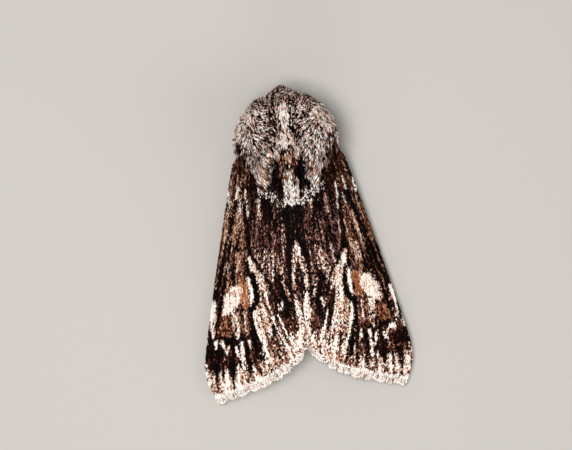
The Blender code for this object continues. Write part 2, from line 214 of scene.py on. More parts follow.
def add_piece(name: str, mesh: Mesh, finish: Material,
              replaced: Sequence[str] = (), smooth: bool = True) -> Object:
    """Put a finished mesh into the scene as one piece that rides on the body.

    Args:
        name: the piece's name.
        mesh: its mesh, in metres of the model.
        finish: its material.
        replaced: the solids that it stands for.
        smooth: whether its faces are shaded smooth.

    Returns:
        The new object.
    """
    mesh.materials.clear()
    mesh.materials.append(finish)
    if smooth:
        mesh.shade_smooth()
    else:
        mesh.shade_flat()
    piece = bpy.data.objects.new(name, mesh)
    mesh.name = name
    link(piece)
    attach(piece, BODY)
    for node in replaced:
        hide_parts(node)
    LOG.info("%s: %d faces", name, len(mesh.polygons))
    return piece


def turn_outwards(body: bmesh.types.BMesh, mesh: Mesh) -> None:
    """Turn a closed shape's faces outwards, store it in a mesh and free it."""
    bmesh.ops.recalc_face_normals(body, faces=body.faces)
    body.to_mesh(mesh)
    body.free()


def opened(mesh: Mesh) -> bmesh.types.BMesh:
    """A mesh taken up for editing."""
    body = bmesh.new()
    body.from_mesh(mesh)
    body.verts.ensure_lookup_table()
    return body


def ring_mesh(rings: Array, cap_ends: bool = True) -> Mesh:
    """Join closed rings of points into a mesh in metres.

    Args:
        rings: array of rings, points and (offset, station, height).
        cap_ends: whether a point closes each end.

    Returns:
        The mesh, its faces turned outwards.
    """
    rows, columns, _ = rings.shape
    points = rings.reshape(-1, 3)
    first = np.arange(rows * columns).reshape(rows, columns)
    after = np.roll(first, -1, axis=1)
    faces = np.stack([first[:-1], after[:-1], after[1:], first[1:]], axis=-1).reshape(-1, 4)
    listed = faces.tolist()
    if cap_ends:
        poles = [points[first[row]].mean(axis=0) for row in (0, -1)]
        for pole, row in zip((len(points), len(points) + 1), (0, -1)):
            ring = first[row]
            listed += [[int(a), int(b), pole] for a, b in zip(ring, np.roll(ring, -1))]
        points = np.vstack([points, poles])
    mesh = bpy.data.meshes.new("rings")
    mesh.from_pydata(place(points).tolist(), [], listed)
    turn_outwards(opened(mesh), mesh)
    return mesh


def thin_shell(upper: Array, lower: Array) -> Mesh:
    """Close two layers of one grid into a thin shell.

    Args:
        upper: array of rows, columns and (offset, station, height).
        lower: the same grid, a wall's thickness below.

    Returns:
        The mesh, its faces turned outwards.
    """
    rows, columns, _ = upper.shape
    mesh = ring_mesh(np.concatenate([upper, lower[:, ::-1]], axis=1), cap_ends=False)
    around = 2 * columns
    body = opened(mesh)
    for start in (0, (rows - 1) * around):
        for index in range(columns - 1):
            corners = (start + index, start + index + 1, start + around - 2 - index,
                       start + around - 1 - index)
            body.faces.new([body.verts[corner] for corner in corners])
    turn_outwards(body, mesh)
    return mesh


def tint(mesh: Mesh, colours_at: Callable[[Array], Array]) -> None:
    """Store a linear colour at each vertex, from its (offset, station, height)."""
    points = np.array([vertex.co for vertex in mesh.vertices]) / MM + (0, LENGTH / 2, 0)
    set_attribute(mesh, "tone", with_alpha(colours_at(points)))


def layer_grid(rows: int, columns: int, last_row: float = 1.0,
               last_column: float = 1.0) -> tuple[Array, Array]:
    """Shares along and across of a layer's points, row by row."""
    row = np.repeat(np.linspace(0.0, last_row, rows), columns)
    return row, np.tile(np.linspace(0.0, last_column, columns), rows)


def sided(seed: int, side: int, step: int = 30) -> int:
    """Seed for one side, so that left and right aren't each other's mirror."""
    return seed if side > 0 else seed + step


# ------------------------------------------------------------------ colours and markings

class Tone(Enum):
    """Colours of single scales and hairs, from dark to light."""

    BLACK = "#060302"
    UMBER = "#2e1610"
    BROWN = "#6f3e30"
    MOUSE = "#80625c"
    OCHRE = "#a9693f"
    TAN = "#ba8c6e"
    ASH = "#c49c93"
    CREAM = "#e2c7b4"
    WHITE = "#f6ece4"


TONE_COLOURS = np.array([linear(tone.value) for tone in Tone])
Mix = dict[Tone, float]


def blend(**shares: float) -> Mix:
    """A mix of tones, each given by its name in small letters."""
    return {Tone[name.upper()]: share for name, share in shares.items()}


def as_weights(mix: Mix) -> Array:
    """Turn a mix of tones into shares that add up to 1."""
    row = np.array([mix.get(tone, 0.0) for tone in Tone])
    return row / row.sum()


def vein_lane(offset: Array, station: Array) -> Array:
    """Offset carried along the veins, which fan out and turn in towards the inner corner."""
    fan = 8.3 / (4.97 + 0.275 * (np.clip(station, 3.0, 18.5) - 6.2))
    beyond = np.maximum(station - 18.5, 0.0)
    return (fan * offset + 0.42 * beyond) / (1 + 0.064 * beyond)


@dataclass(frozen=True)
class Mark:
    """One marking: a stroke along stops of (offset, station, width)."""

    mix: Mix
    stops: tuple[tuple[float, float, float], ...]
    strength: float = 0.9
    softness: float = 0.03

    def cover(self, offset: Array, station: Array) -> Array:
        """Share from 0 to 1 by which the mark covers each point."""
        covered = np.zeros(len(offset))
        for start, end in zip(self.stops, self.stops[1:]):
            step = np.subtract(end, start)
            length = float(step[:2] @ step[:2])
            share = ((offset - start[0]) * step[0] + (station - start[1]) * step[1]) / length
            share = np.clip(share, 0.0, 1.0)
            gap = np.hypot(offset - start[0] - share * step[0],
                           station - start[1] - share * step[1])
            half = (start[2] + step[2] * share) / 2
            inside = 1 / (1 + np.exp(np.clip((gap - half) / self.softness, -30, 30)))
            covered = np.maximum(covered, inside)
        return covered * self.strength


@dataclass(frozen=True)
class Zone:
    """A ground colour that fades in around a station and an offset."""

    mix: Mix
    from_station: float
    to_station: float = 99.0
    from_offset: float = -1.0
    to_offset: float = 99.0
    fade: float = 1.0

    def cover(self, offset: Array, station: Array) -> Array:
        """Share from 0 to 1 by which the zone covers each point."""
        half = self.fade / 2
        fore = ease(station, self.from_station - half, self.from_station + half)
        rear = 1 - ease(station, self.to_station - half, self.to_station + half)
        near = ease(offset, self.from_offset - half, self.from_offset + half)
        far = 1 - ease(offset, self.to_offset - half, self.to_offset + half)
        return fore * rear * near * far


@dataclass(frozen=True)
class Pattern:
    """Markings of one surface: a ground, zones over it and marks over those."""

    ground: Mix
    layers: tuple[Zone | Mark, ...]
    warp: float = 0.04               # how ragged the marks' edges are
    grain: float = 0.09              # width of one fleck
    streak: float = 1.4              # length of one fleck's run along the veins
    scatter: float = 0.12            # share of chance that is each scale's own
    middle: float = 0.05             # offset of the pattern's own middle line

    def weights(self, points: Array) -> Array:
        """Share of each tone at each point.

        Args:
            points: rows of (offset, station, height).

        Returns:
            One row of tone shares for each point.
        """
        side = np.where(points[:, 0] < 0, 57, 11)
        offset, station = np.abs(points[:, 0] - self.middle), points[:, 1]
        bend = value_noise(offset / 0.6 + side, station / 1.4, 3)
        shake = value_noise(offset / 0.16 + side, station / 0.4, 4)
        run = value_noise(offset / 0.14 + side, station / 0.6, 5)
        offset = offset + self.warp * (bend + 0.7 * shake)
        station = station + 3.5 * self.warp * run
        mixed = np.tile(as_weights(self.ground), (len(points), 1))
        for layer in self.layers:
            share = layer.cover(offset, station)[:, None]
            mixed = mixed * (1 - share) + as_weights(layer.mix) * share
        return mixed

    def mean(self, points: Array) -> Array:
        """Average linear colour at each point, for the skin below the coat."""
        return self.weights(points) @ TONE_COLOURS

    def pick(self, points: Array, seed: int) -> Array:
        """A linear colour for each scale, flecked and streaked along the body.

        Args:
            points: rows of (offset, station, height), where each scale shows.
            seed: picks the flecks.

        Returns:
            One linear colour for each point.
        """
        rng = np.random.default_rng(seed)
        side = np.where(points[:, 0] < 0, 313, 7)
        station = points[:, 1]
        lane = vein_lane(np.abs(points[:, 0] - self.middle), station) / self.grain + side
        lane = lane + 0.35 * value_noise(lane, station / self.grain, seed + 3)
        step = station / (1.5 * self.grain) + 3 * lattice(lane, 0 * lane, seed + 4)
        run = value_noise(lane / 1.4, station / self.streak, seed + 1)
        band = value_noise(lane / 3.2, station / (2.5 * self.streak), seed + 2)
        chance = 0.56 * lattice(lane, step, seed) + 0.38 * run + 0.28 * band
        chance = chance + self.scatter * rng.uniform(-1.6, 1.6, len(points))
        rank = np.empty(len(points))
        rank[np.argsort(chance)] = (np.arange(len(points)) + 0.5) / len(points)
        reached = np.cumsum(self.weights(points), axis=1)
        chosen = np.minimum((rank[:, None] > reached).sum(axis=1), len(Tone) - 1)
        shade = rng.uniform(0.8, 1.15, len(points))
        return np.clip(TONE_COLOURS[chosen] * shade[:, None], 0.0, 1.0)


INK = blend(black=0.90, umber=0.10)
SOOT = blend(black=0.62, umber=0.22, brown=0.14, tan=0.02)
BARK = blend(black=0.26, umber=0.24, brown=0.28, tan=0.16, cream=0.06)
RUSSET = blend(brown=0.40, ochre=0.52, cream=0.08)
FAWN = blend(black=0.10, brown=0.28, tan=0.32, cream=0.20, white=0.10)
SPECKLE = blend(black=0.22, umber=0.08, brown=0.14, tan=0.16, cream=0.20, white=0.20)
PALE = blend(black=0.19, umber=0.05, brown=0.17, tan=0.19, cream=0.19, white=0.21)
SPECKS = blend(black=0.48, brown=0.05, ochre=0.05, white=0.42)
CHALK = blend(tan=0.10, cream=0.22, white=0.68)
SNOW = blend(cream=0.15, white=0.85)

FOREWING_LAYERS = (
    Zone(blend(black=0.62, umber=0.25, brown=0.11, tan=0.02), 5.0, 10.4, 2.9, 99.0, 0.8),
    Zone(blend(black=0.42, umber=0.27, brown=0.19, tan=0.1, cream=0.02), 5.0, 10.4, 4.5, 99.0, 0.6),
    Zone(blend(black=0.55, umber=0.22, brown=0.08, mouse=0.12, ash=0.03), 11.6, 15.4, 1.2, 4.1, 1.2),
    Zone(blend(black=0.42, umber=0.19, brown=0.11, mouse=0.14, tan=0.04, cream=0.07, white=0.03),
         15.2, 18.8, 1.2, 4.1, 1.2),
    Zone(blend(black=0.34, umber=0.2, brown=0.24, tan=0.15, cream=0.07), 11.5, 24.0, 4.7, 8.8, 0.6),
    Zone(SPECKLE, 17.4, 31.0, 2.9, 4.6, 1.0),
    Zone(blend(black=0.23, umber=0.06, brown=0.21, tan=0.18, cream=0.16, white=0.16),
         23.2, 31.0, -1.0, 4.6, 1.6),
    Zone(SOOT, 23.0, 26.4, 4.6, 99.0, 0.8),
    Zone(PALE, 26.4, 31.0, 4.4, 99.0, 1.5),
    # base, in stripes that run back from under the fur
    # painted shadow of the shoulder lobes' fur on the wing's base
    Mark(INK, ((3.0, 9.4, 0.9), (2.6, 10.4, 1.2), (2.3, 11.6, 0.9))),
    Mark(CHALK, ((4.2, 9.7, 0.2), (4.25, 10.6, 0.2), (4.15, 12.0, 0.12)), 0.75),
    Mark(SNOW, ((4.9, 9.3, 0.22), (5.15, 10.4, 0.16))),
    Mark(SNOW, ((5.9, 9.7, 0.26), (6.12, 10.7, 0.18))),
    Mark(SPECKLE, ((4.85, 10.7, 0.3), (4.95, 11.8, 0.2)), 0.65),
    Mark(SPECKLE, ((5.6, 10.6, 0.3), (5.75, 11.8, 0.2)), 0.6),
    Mark(FAWN, ((3.08, 10.5, 0.26), (3.15, 12.2, 0.2)), 0.8),
    Mark(INK, ((0.0, 8.0, 2.0), (0.2, 11.2, 1.6)), 0.95, 0.15),
    Mark(INK, ((1.6, 8.6, 1.4), (2.3, 10.2, 1.2)), 0.9, 0.15),
    Mark(SPECKS, ((1.6, 10.2, 0.7), (2.5, 9.8, 0.7)), 0.95, 0.12),
    Mark(SPECKS, ((0.4, 11.0, 0.8), (1.5, 10.7, 0.6)), 0.9, 0.12),
    # middle, dark with fine specks
    Mark(INK, ((0.4, 11.6, 1.2), (0.45, 14.2, 0.8), (0.9, 16.0, 0.4)), 0.85),
    Mark(INK, ((2.4, 10.6, 0.55), (2.5, 12.8, 0.28))),
    Mark(INK, ((1.9, 11.4, 0.38), (1.8, 13.6, 0.22))),
    Mark(INK, ((3.6, 10.4, 0.34), (3.65, 12.9, 0.22))),
    Mark(RUSSET, ((2.8, 13.0, 0.1), (2.7, 14.5, 0.08)), 0.7),
    Mark(FAWN, ((1.7, 11.0, 0.14), (1.75, 12.2, 0.1)), 0.7),
    Mark(blend(brown=0.15, mouse=0.35, tan=0.25, cream=0.25),
         ((4.1, 12.3, 0.08), (4.1, 14.6, 0.12), (3.95, 15.75, 0.26)), 0.65),
    Mark(INK, ((4.42, 11.0, 0.28), (4.44, 13.0, 0.36), (4.46, 15.8, 0.38)), 0.95),
    Mark(BARK, ((4.95, 12.6, 0.4), (5.0, 15.6, 0.4), (5.1, 17.6, 0.4)), 0.8),
    Mark(PALE, ((2.1, 15.8, 0.5), (2.05, 17.3, 0.4)), 0.65, 0.15),
    # stripes beside the front edge
    Mark(blend(black=0.15, umber=0.3, brown=0.45, tan=0.1),
         ((6.7, 12.6, 0.4), (7.2, 15.5, 0.4), (7.8, 18.2, 0.4)), 0.85),
    Mark(blend(black=0.14, brown=0.34, tan=0.36, cream=0.16),
         ((5.45, 12.8, 0.3), (5.9, 14.2, 0.28), (6.25, 15.3, 0.26), (6.6, 16.3, 0.12)), 0.95),
    Mark(PALE, ((5.95, 14.3, 0.12), (6.3, 15.5, 0.08)), 0.8),
    Mark(INK, ((5.3, 10.7, 0.26), (5.65, 12.0, 0.38), (6.0, 13.0, 0.4), (6.5, 14.55, 0.38),
          (6.95, 16.0, 0.42), (7.4, 17.5, 0.42), (7.9, 19.0, 0.36), (8.3, 20.6, 0.3)), 0.97),
    Mark(INK, ((6.05, 14.1, 0.2), (6.45, 15.6, 0.28), (6.9, 17.5, 0.36), (7.3, 19.0, 0.3),
          (7.8, 20.6, 0.3), (8.3, 22.6, 0.3)), 0.95),
    Mark(INK, ((5.3, 13.7, 0.24), (5.65, 15.2, 0.32), (5.95, 16.6, 0.32), (6.35, 17.9, 0.28)), 0.92),
    Mark(INK, ((6.25, 10.8, 0.36), (6.65, 12.1, 0.36)), 0.95),
    Mark(INK, ((7.1, 14.5, 0.2), (7.65, 16.6, 0.34), (8.15, 18.5, 0.34), (8.4, 19.8, 0.3)), 0.88),
    Mark(FAWN, ((5.6, 15.5, 0.42), (5.75, 17.0, 0.48)), 0.85),
    # ridge where the wings meet
    Mark(INK, ((0.85, 15.6, 0.5), (0.95, 17.4, 0.34), (0.98, 19.5, 0.22), (1.0, 20.6, 0.16))),
    Mark(CHALK, ((0.0, 14.5, 0.1), (0.1, 15.2, 0.42), (0.2, 15.9, 0.36)), 0.85),
    Mark(SPECKLE, ((0.3, 16.0, 0.45), (0.5, 17.3, 0.4), (0.65, 18.8, 0.35)), 0.88),
    Mark(blend(black=0.13, brown=0.12, tan=0.18, cream=0.25, white=0.32),
         ((0.5, 19.5, 0.25), (0.42, 20.6, 0.65), (0.4, 21.8, 0.6), (0.2, 23.2, 0.4))),
    Mark(BARK, ((1.15, 20.8, 0.3), (1.1, 22.3, 0.35)), 0.8, 0.08),
    Mark(SOOT, ((0.95, 21.9, 0.12), (0.45, 23.0, 0.1)), 0.85),
    # oblique line and what follows it
    Mark(SOOT, ((2.25, 17.8, 0.5), (2.15, 20.2, 0.6)), 0.85),
    Mark(INK, ((1.9, 17.5, 0.3), (1.75, 18.8, 0.42), (1.5, 20.3, 0.5), (1.5, 21.6, 0.3))),
    Mark(PALE, ((1.62, 18.1, 0.2), (1.3, 19.2, 0.24), (1.0, 20.0, 0.12)), 0.85),
    # the pale band and the black line before it
    Mark(blend(black=0.18, umber=0.06, brown=0.18, tan=0.22, cream=0.2, white=0.16),
         ((4.45, 15.95, 0.42), (4.15, 17.0, 0.66), (3.55, 18.2, 0.72), (3.65, 19.4, 0.8),
          (3.5, 20.6, 0.95), (3.6, 22.0, 1.4), (3.5, 23.6, 1.5))),
    Mark(CHALK, ((4.45, 16.0, 0.34), (4.25, 17.0, 0.5)), 0.8),
    Mark(CHALK, ((3.75, 19.2, 0.3), (3.6, 20.6, 0.3)), 0.4),
    Mark(INK, ((4.22, 15.75, 0.3), (3.7, 16.5, 0.3), (3.22, 17.5, 0.3), (2.75, 18.4, 0.28),
          (2.45, 19.3, 0.22)), 0.95),
    Mark(SOOT, ((2.95, 19.5, 0.5), (2.7, 20.6, 0.6))),
    Mark(INK, ((4.74, 16.2, 0.28), (4.66, 17.6, 0.32))),
    # the dark tent and its white hook
    Mark(blend(black=0.74, umber=0.13, brown=0.06, tan=0.04, white=0.03),
         ((2.35, 20.7, 0.6), (2.15, 21.5, 0.95), (1.85, 22.3, 0.5)), 0.9, 0.06),
    Mark(SOOT, ((1.6, 22.0, 0.4), (1.1, 22.9, 0.15)), 0.85, 0.06),
    Mark(SNOW, ((1.83, 20.1, 0.2), (1.88, 20.75, 0.14))),
    Mark(CHALK, ((1.95, 20.75, 0.12), (2.25, 20.3, 0.1)), 0.85),
    # threads that sweep to the corner
    Mark(CHALK, ((2.35, 21.3, 0.14), (1.85, 22.8, 0.2), (1.35, 24.2, 0.12))),
    Mark(CHALK, ((3.05, 21.2, 0.14), (2.5, 23.0, 0.22), (1.95, 24.8, 0.14))),
    Mark(SOOT, ((2.65, 20.8, 0.16), (2.15, 22.6, 0.18), (1.65, 24.3, 0.1))),
    Mark(SOOT, ((3.35, 21.3, 0.14), (2.85, 23.1, 0.18), (2.3, 25.0, 0.1))),
    Mark(SOOT, ((1.95, 21.8, 0.14), (1.35, 23.5, 0.12))),
    Mark(SOOT, ((3.8, 22.1, 0.12), (3.4, 23.8, 0.16), (2.95, 25.4, 0.1)), 0.85),
    Mark(FAWN, ((3.6, 21.6, 0.4), (3.6, 22.3, 0.4)), 0.7),
    Mark(SOOT, ((3.15, 23.4, 0.32), (3.15, 24.2, 0.32)), 0.85),
    Mark(INK, ((2.32, 23.4, 0.16), (2.05, 24.6, 0.12))),
    # the band's bright outer edge
    Mark(SNOW, ((4.5, 20.85, 0.16), (4.52, 21.9, 0.26), (4.3, 23.0, 0.24), (3.95, 24.2, 0.2),
          (3.45, 25.8, 0.14))),
    # the black band inside the spots, broken into wedges below
    Mark(INK, ((4.36, 17.4, 0.46), (4.2, 18.5, 0.6), (4.16, 19.6, 0.62), (4.45, 20.4, 0.6),
          (4.95, 20.75, 0.42)), 0.98),
    Mark(INK, ((4.9, 20.8, 0.36), (4.87, 22.0, 0.36), (4.75, 23.0, 0.68), (4.6, 24.0, 0.94),
          (4.4, 25.0, 1.0), (4.1, 25.8, 0.5)), 0.96, 0.04),
    # the brown spot
    Mark(RUSSET, ((5.3, 18.3, 0.75), (5.38, 20.15, 0.8)), 0.96),
    # the white crescent beside the brown spot
    Mark(SNOW, ((4.7, 17.75, 0.18), (4.6, 18.8, 0.28), (4.65, 19.7, 0.26), (4.88, 20.35, 0.12)), 0.95),
    Mark(blend(tan=0.3, cream=0.5, white=0.2), ((5.75, 18.6, 0.4), (5.85, 19.8, 0.45)), 0.9, 0.06),
    # the white kidney mark
    Mark(blend(tan=0.16, cream=0.28, white=0.56),
         ((6.2, 18.95, 1.05), (6.55, 19.9, 1.35), (7.25, 20.95, 0.62)), 0.96, 0.05),
    Mark(INK, ((5.72, 20.35, 0.12), (6.35, 20.98, 0.15), (7.0, 21.45, 0.12))),
    Mark(BARK, ((5.45, 20.6, 0.5), (5.5, 23.0, 0.55))),
    Mark(CHALK, ((5.5, 20.9, 0.1), (5.55, 22.7, 0.08)), 0.8),
    Mark(PALE, ((6.35, 21.3, 0.7), (6.3, 22.4, 0.62), (6.45, 23.4, 0.4))),
    Mark(INK, ((6.75, 22.8, 0.2), (6.6, 24.0, 0.36))),
    Mark(blend(black=0.19, umber=0.19, brown=0.32, ochre=0.17, tan=0.13),
         ((7.5, 21.7, 0.8), (7.6, 23.0, 0.8)), 0.85),
    Mark(INK, ((7.0, 23.5, 0.3), (7.8, 23.4, 0.36)), 0.85),
    # front edge beyond the spots
    Mark(SNOW, ((8.4, 20.1, 0.34), (8.72, 21.6, 0.34)), 0.95),
    Mark(SNOW, ((8.72, 21.6, 0.18), (8.75, 23.4, 0.12))),
    Mark(INK, ((9.0, 21.4, 0.2), (9.25, 23.0, 0.3), (9.4, 25.0, 0.3))),
    Mark(SNOW, ((9.38, 23.1, 0.2), (9.48, 24.1, 0.2))),
    Mark(SNOW, ((9.64, 25.0, 0.18), (9.68, 26.0, 0.16))),
    # zigzag before the outer margin
    Mark(BARK, ((5.15, 24.6, 0.5), (5.2, 26.2, 0.4)), 0.6),
    Mark(INK, ((6.6, 23.9, 0.5), (7.2, 23.6, 0.45), (8.0, 23.3, 0.4))),
    Mark(SOOT, ((3.05, 26.0, 0.1), (2.7, 27.0, 0.08)), 0.7),
    Mark(SOOT, ((5.3, 26.2, 0.1), (5.15, 28.0, 0.08)), 0.7),
    Mark(SOOT, ((6.45, 26.4, 0.12), (6.4, 28.4, 0.08)), 0.7),
    Mark(SOOT, ((8.1, 26.6, 0.12), (8.2, 27.8, 0.08)), 0.6),
    Mark(SOOT, ((1.6, 23.4, 0.1), (1.45, 25.2, 0.08)), 0.7),
    Mark(SOOT, ((2.9, 24.6, 0.1), (2.6, 26.0, 0.08)), 0.7),
    Mark(INK, ((5.55, 24.3, 0.3), (5.65, 25.4, 0.18))),
    Mark(INK, ((5.0, 25.0, 0.18), (4.88, 26.0, 0.14), (4.5, 27.2, 0.1))),
    Mark(CHALK, ((5.28, 23.7, 0.26), (5.24, 24.4, 0.2))),
    # the black wedges
    Mark(blend(black=0.82, umber=0.15, brown=0.03),
         ((6.95, 25.4, 0.9), (7.8, 25.6, 1.5), (8.7, 25.3, 1.7), (9.3, 25.4, 1.0)), 0.98),
    Mark(SOOT, ((7.1, 26.0, 0.7), (8.2, 26.0, 0.9), (9.2, 26.0, 0.9)), 0.92),
    Mark(BARK, ((7.4, 25.2, 0.3), (8.3, 25.7, 0.3)), 0.3),
    Mark(INK, ((6.9, 23.9, 0.24), (6.95, 25.0, 0.34))),
    # pale arms between the wedges
    Mark(CHALK, ((6.0, 23.8, 0.28), (6.05, 25.0, 0.28), (6.05, 26.2, 0.34))),
    Mark(CHALK, ((6.65, 24.2, 0.2), (6.35, 25.4, 0.14))),
    Mark(CHALK, ((7.25, 24.1, 0.16), (7.55, 24.85, 0.18), (7.85, 23.95, 0.2), (8.4, 23.6, 0.2))),
    Mark(CHALK, ((8.5, 23.6, 0.22), (8.55, 24.25, 0.18))),
    # fine points that reach the margin
    Mark(INK, ((7.2, 25.9, 0.62), (7.25, 28.3, 0.08))),
    Mark(INK, ((8.75, 26.2, 0.55), (8.85, 28.4, 0.08))),
    Mark(SOOT, ((4.75, 25.9, 0.3), (4.35, 27.4, 0.08))),
    Mark(SOOT, ((5.6, 25.9, 0.26), (5.5, 27.6, 0.08))),
    Mark(SOOT, ((3.65, 26.0, 0.22), (3.35, 27.4, 0.08)), 0.85),
    Mark(SOOT, ((8.0, 26.2, 0.34), (8.05, 27.5, 0.08)), 0.85),
    Mark(CHALK, ((7.75, 27.9, 0.34), (7.7, 26.3, 0.08)), 0.8),
    Mark(CHALK, ((8.35, 28.0, 0.26), (8.4, 26.5, 0.06)), 0.8),
    Mark(CHALK, ((6.6, 28.0, 0.34), (6.6, 26.0, 0.1)), 0.8),
    Mark(CHALK, ((5.05, 27.6, 0.24), (5.3, 26.0, 0.08)), 0.8),
    Mark(FAWN, ((2.4, 25.5, 0.3), (2.25, 26.1, 0.2)), 0.8),
    Mark(FAWN, ((1.0, 24.1, 0.24), (1.0, 24.5, 0.2)), 0.8),
    Mark(CHALK, ((0.35, 22.9, 0.4), (0.5, 23.9, 0.4), (0.9, 24.9, 0.25)), 0.7),
    Mark(CHALK, ((9.45, 27.0, 0.4), (9.5, 28.3, 0.3)), 0.85),
)
FOREWING_PATTERN = Pattern(
    blend(black=0.6, umber=0.22, brown=0.08, mouse=0.08, cream=0.02), FOREWING_LAYERS)


# ------------------------------------------------------------------ forms

class Form:
    """A surface addressed by two shares from 0 to 1: along the body and across it."""

    STEP = 1e-3

    def points(self, along: Array, across: Array) -> Array:
        """Rows of (offset, station, height) at the given shares."""
        raise NotImplementedError

    def outside(self, points: Array) -> Array:
        """A vector at each point that leads away from the form."""
        raise NotImplementedError

    def slopes(self, along: Array, across: Array) -> tuple[Array, Array]:
        """How the surface runs along and across, for each unit of share."""
        step = self.STEP
        run = self.points(along + step, across) - self.points(along - step, across)
        turn = self.points(along, across + step) - self.points(along, across - step)
        return run / (2 * step), turn / (2 * step)

    def frame(self, along: Array, across: Array) -> tuple[Array, Array, Array, Array]:
        """Points, outward normals, and directions along and across, each of length 1."""
        points = self.points(along, across)
        run, turn = self.slopes(along, across)
        normal = unit(np.cross(run, turn))
        outward = np.sum(normal * self.outside(points), axis=1)
        normal = normal * np.where(outward < 0, -1.0, 1.0)[:, None]
        return points, normal, unit(run), unit(turn)


@dataclass(frozen=True)
class TrunkForm(Form):
    """Outer form of the thorax, out to the tips of its fur."""

    front: float = 0.7
    widest: float = 5.6
    rear: float = 11.9
    half_width: float = 4.85
    top: float = 8.9
    underside: float = 2.0
    waist: float = 9.55

    def sections_at(self, station: Array) -> tuple[Array, Array, Array]:
        """Half width, top and underside: a round front and a more pointed rear."""
        fore = station < self.widest
        run = np.where(fore, self.widest - self.front, self.rear - self.widest)
        share = np.clip(np.abs(self.widest - station) / run, 0, 1)
        power = np.where(fore, 2.0, 1.6)
        width = self.half_width * np.maximum(0.0, 1 - share ** power) ** (1 / power)
        top = self.top - np.where(fore, 1.9 * share ** 2, 1.6 * share ** 2.2)
        low = self.underside + np.where(fore, 5.0 * share ** 3, 3.0 * share ** 3)
        tuft = ease(station, self.waist - 0.6, self.waist + 0.9)
        return width, top, low * (1 - tuft) + (6.1 + 0.36 * (station - self.waist)) * tuft

    def points(self, along: Array, across: Array) -> Array:
        """Rows of points; across runs from the belly over the left side to the crest."""
        station = self.front + (self.rear - self.front) * np.clip(along, 0.0, 1.0)
        angle = 2 * math.pi * (across - 0.25)
        width, top, low = self.sections_at(station)
        offset = width * signed_power(np.cos(angle), 0.9)
        middle, half = (top + low) / 2, (top - low) / 2
        height = middle + half * signed_power(np.sin(angle), 0.9)
        crest = np.exp(-(offset / 0.9) ** 2)
        furrow = np.exp(-((np.abs(offset) - 2.0) / 0.9) ** 2)
        height = height + 0.32 * (crest - 0.8 * furrow) * ease(height, 5.6, 6.6)
        return beside(offset, station, height)

    def outside(self, points: Array) -> Array:
        """Away from the trunk's middle line."""
        return points - np.array([0.0, 6.0, 5.4])


@dataclass(frozen=True)
class HeadForm(Form):
    """Outer form of the head, out to the tip of its frontal tuft."""

    half_width: float = 2.15
    back: float = 4.6
    tuft_height: float = 5.2

    def points(self, along: Array, across: Array) -> Array:
        """Rows of points; across runs from the chin over the left side to the crown."""
        station = self.back * np.clip(along, 0.0, 1.0) ** 1.4
        angle = 2 * math.pi * (across - 0.25)
        widened = np.sin(math.pi / 2 * np.minimum(1.0, station / 2.6)) ** 0.78
        grown = np.sin(math.pi / 2 * np.minimum(1.0, station / 3.2))
        width = self.half_width * widened + 0.04
        top = self.tuft_height + 0.04 + 1.7 * grown ** 0.9
        low = self.tuft_height - 0.04 - 2.7 * grown ** 0.8
        lean = signed_power(np.sin(angle), 0.9)
        offset = width * signed_power(np.cos(angle), 0.9) * (1 + 0.22 * lean)
        height = (top + low) / 2 + (top - low) / 2 * lean
        return beside(offset, station, height)

    def outside(self, points: Array) -> Array:
        """Away from the middle of the head."""
        return points - np.array([0.0, 3.0, 4.8])


@dataclass(frozen=True)
class AbdomenForm(Form):
    """Outer form of the abdomen's fur."""

    front: float = 9.1
    full: float = 12.5
    tip: float = 22.8
    half_width: float = 2.45
    flatness: float = 0.90
    clearance: float = 0.4
    waist_rise: float = 1.5          # how far the underside comes up to meet the thorax

    def points(self, along: Array, across: Array) -> Array:
        """Rows of points; across runs from the belly over the left side to the back."""
        share = np.clip(along, 0.0, 1.0) ** 0.85
        station = self.front + (self.tip - self.front) * share
        rise = np.clip((station - self.front) / (self.full - self.front), 0, 1)
        run = np.clip((station - self.full) / (self.tip - self.full), 0, 1)
        width = np.where(station < self.full, 0.66 + 0.34 * np.sin(math.pi / 2 * rise),
                         np.maximum(0.02, 1 - run ** 2.3) ** 0.45)
        half = self.half_width * width
        bottom = self.clearance + 0.8 * (1 - width) + self.waist_rise * (1 - rise) ** 2
        angle = 2 * math.pi * (across - 0.25)
        height = bottom + half * self.flatness * (1 + np.sin(angle))
        return beside(half * np.cos(angle), station, height)

    def outside(self, points: Array) -> Array:
        """Away from the abdomen's axis."""
        return points * (1, 0, 1) - np.array([0.0, 0.0, 2.5])


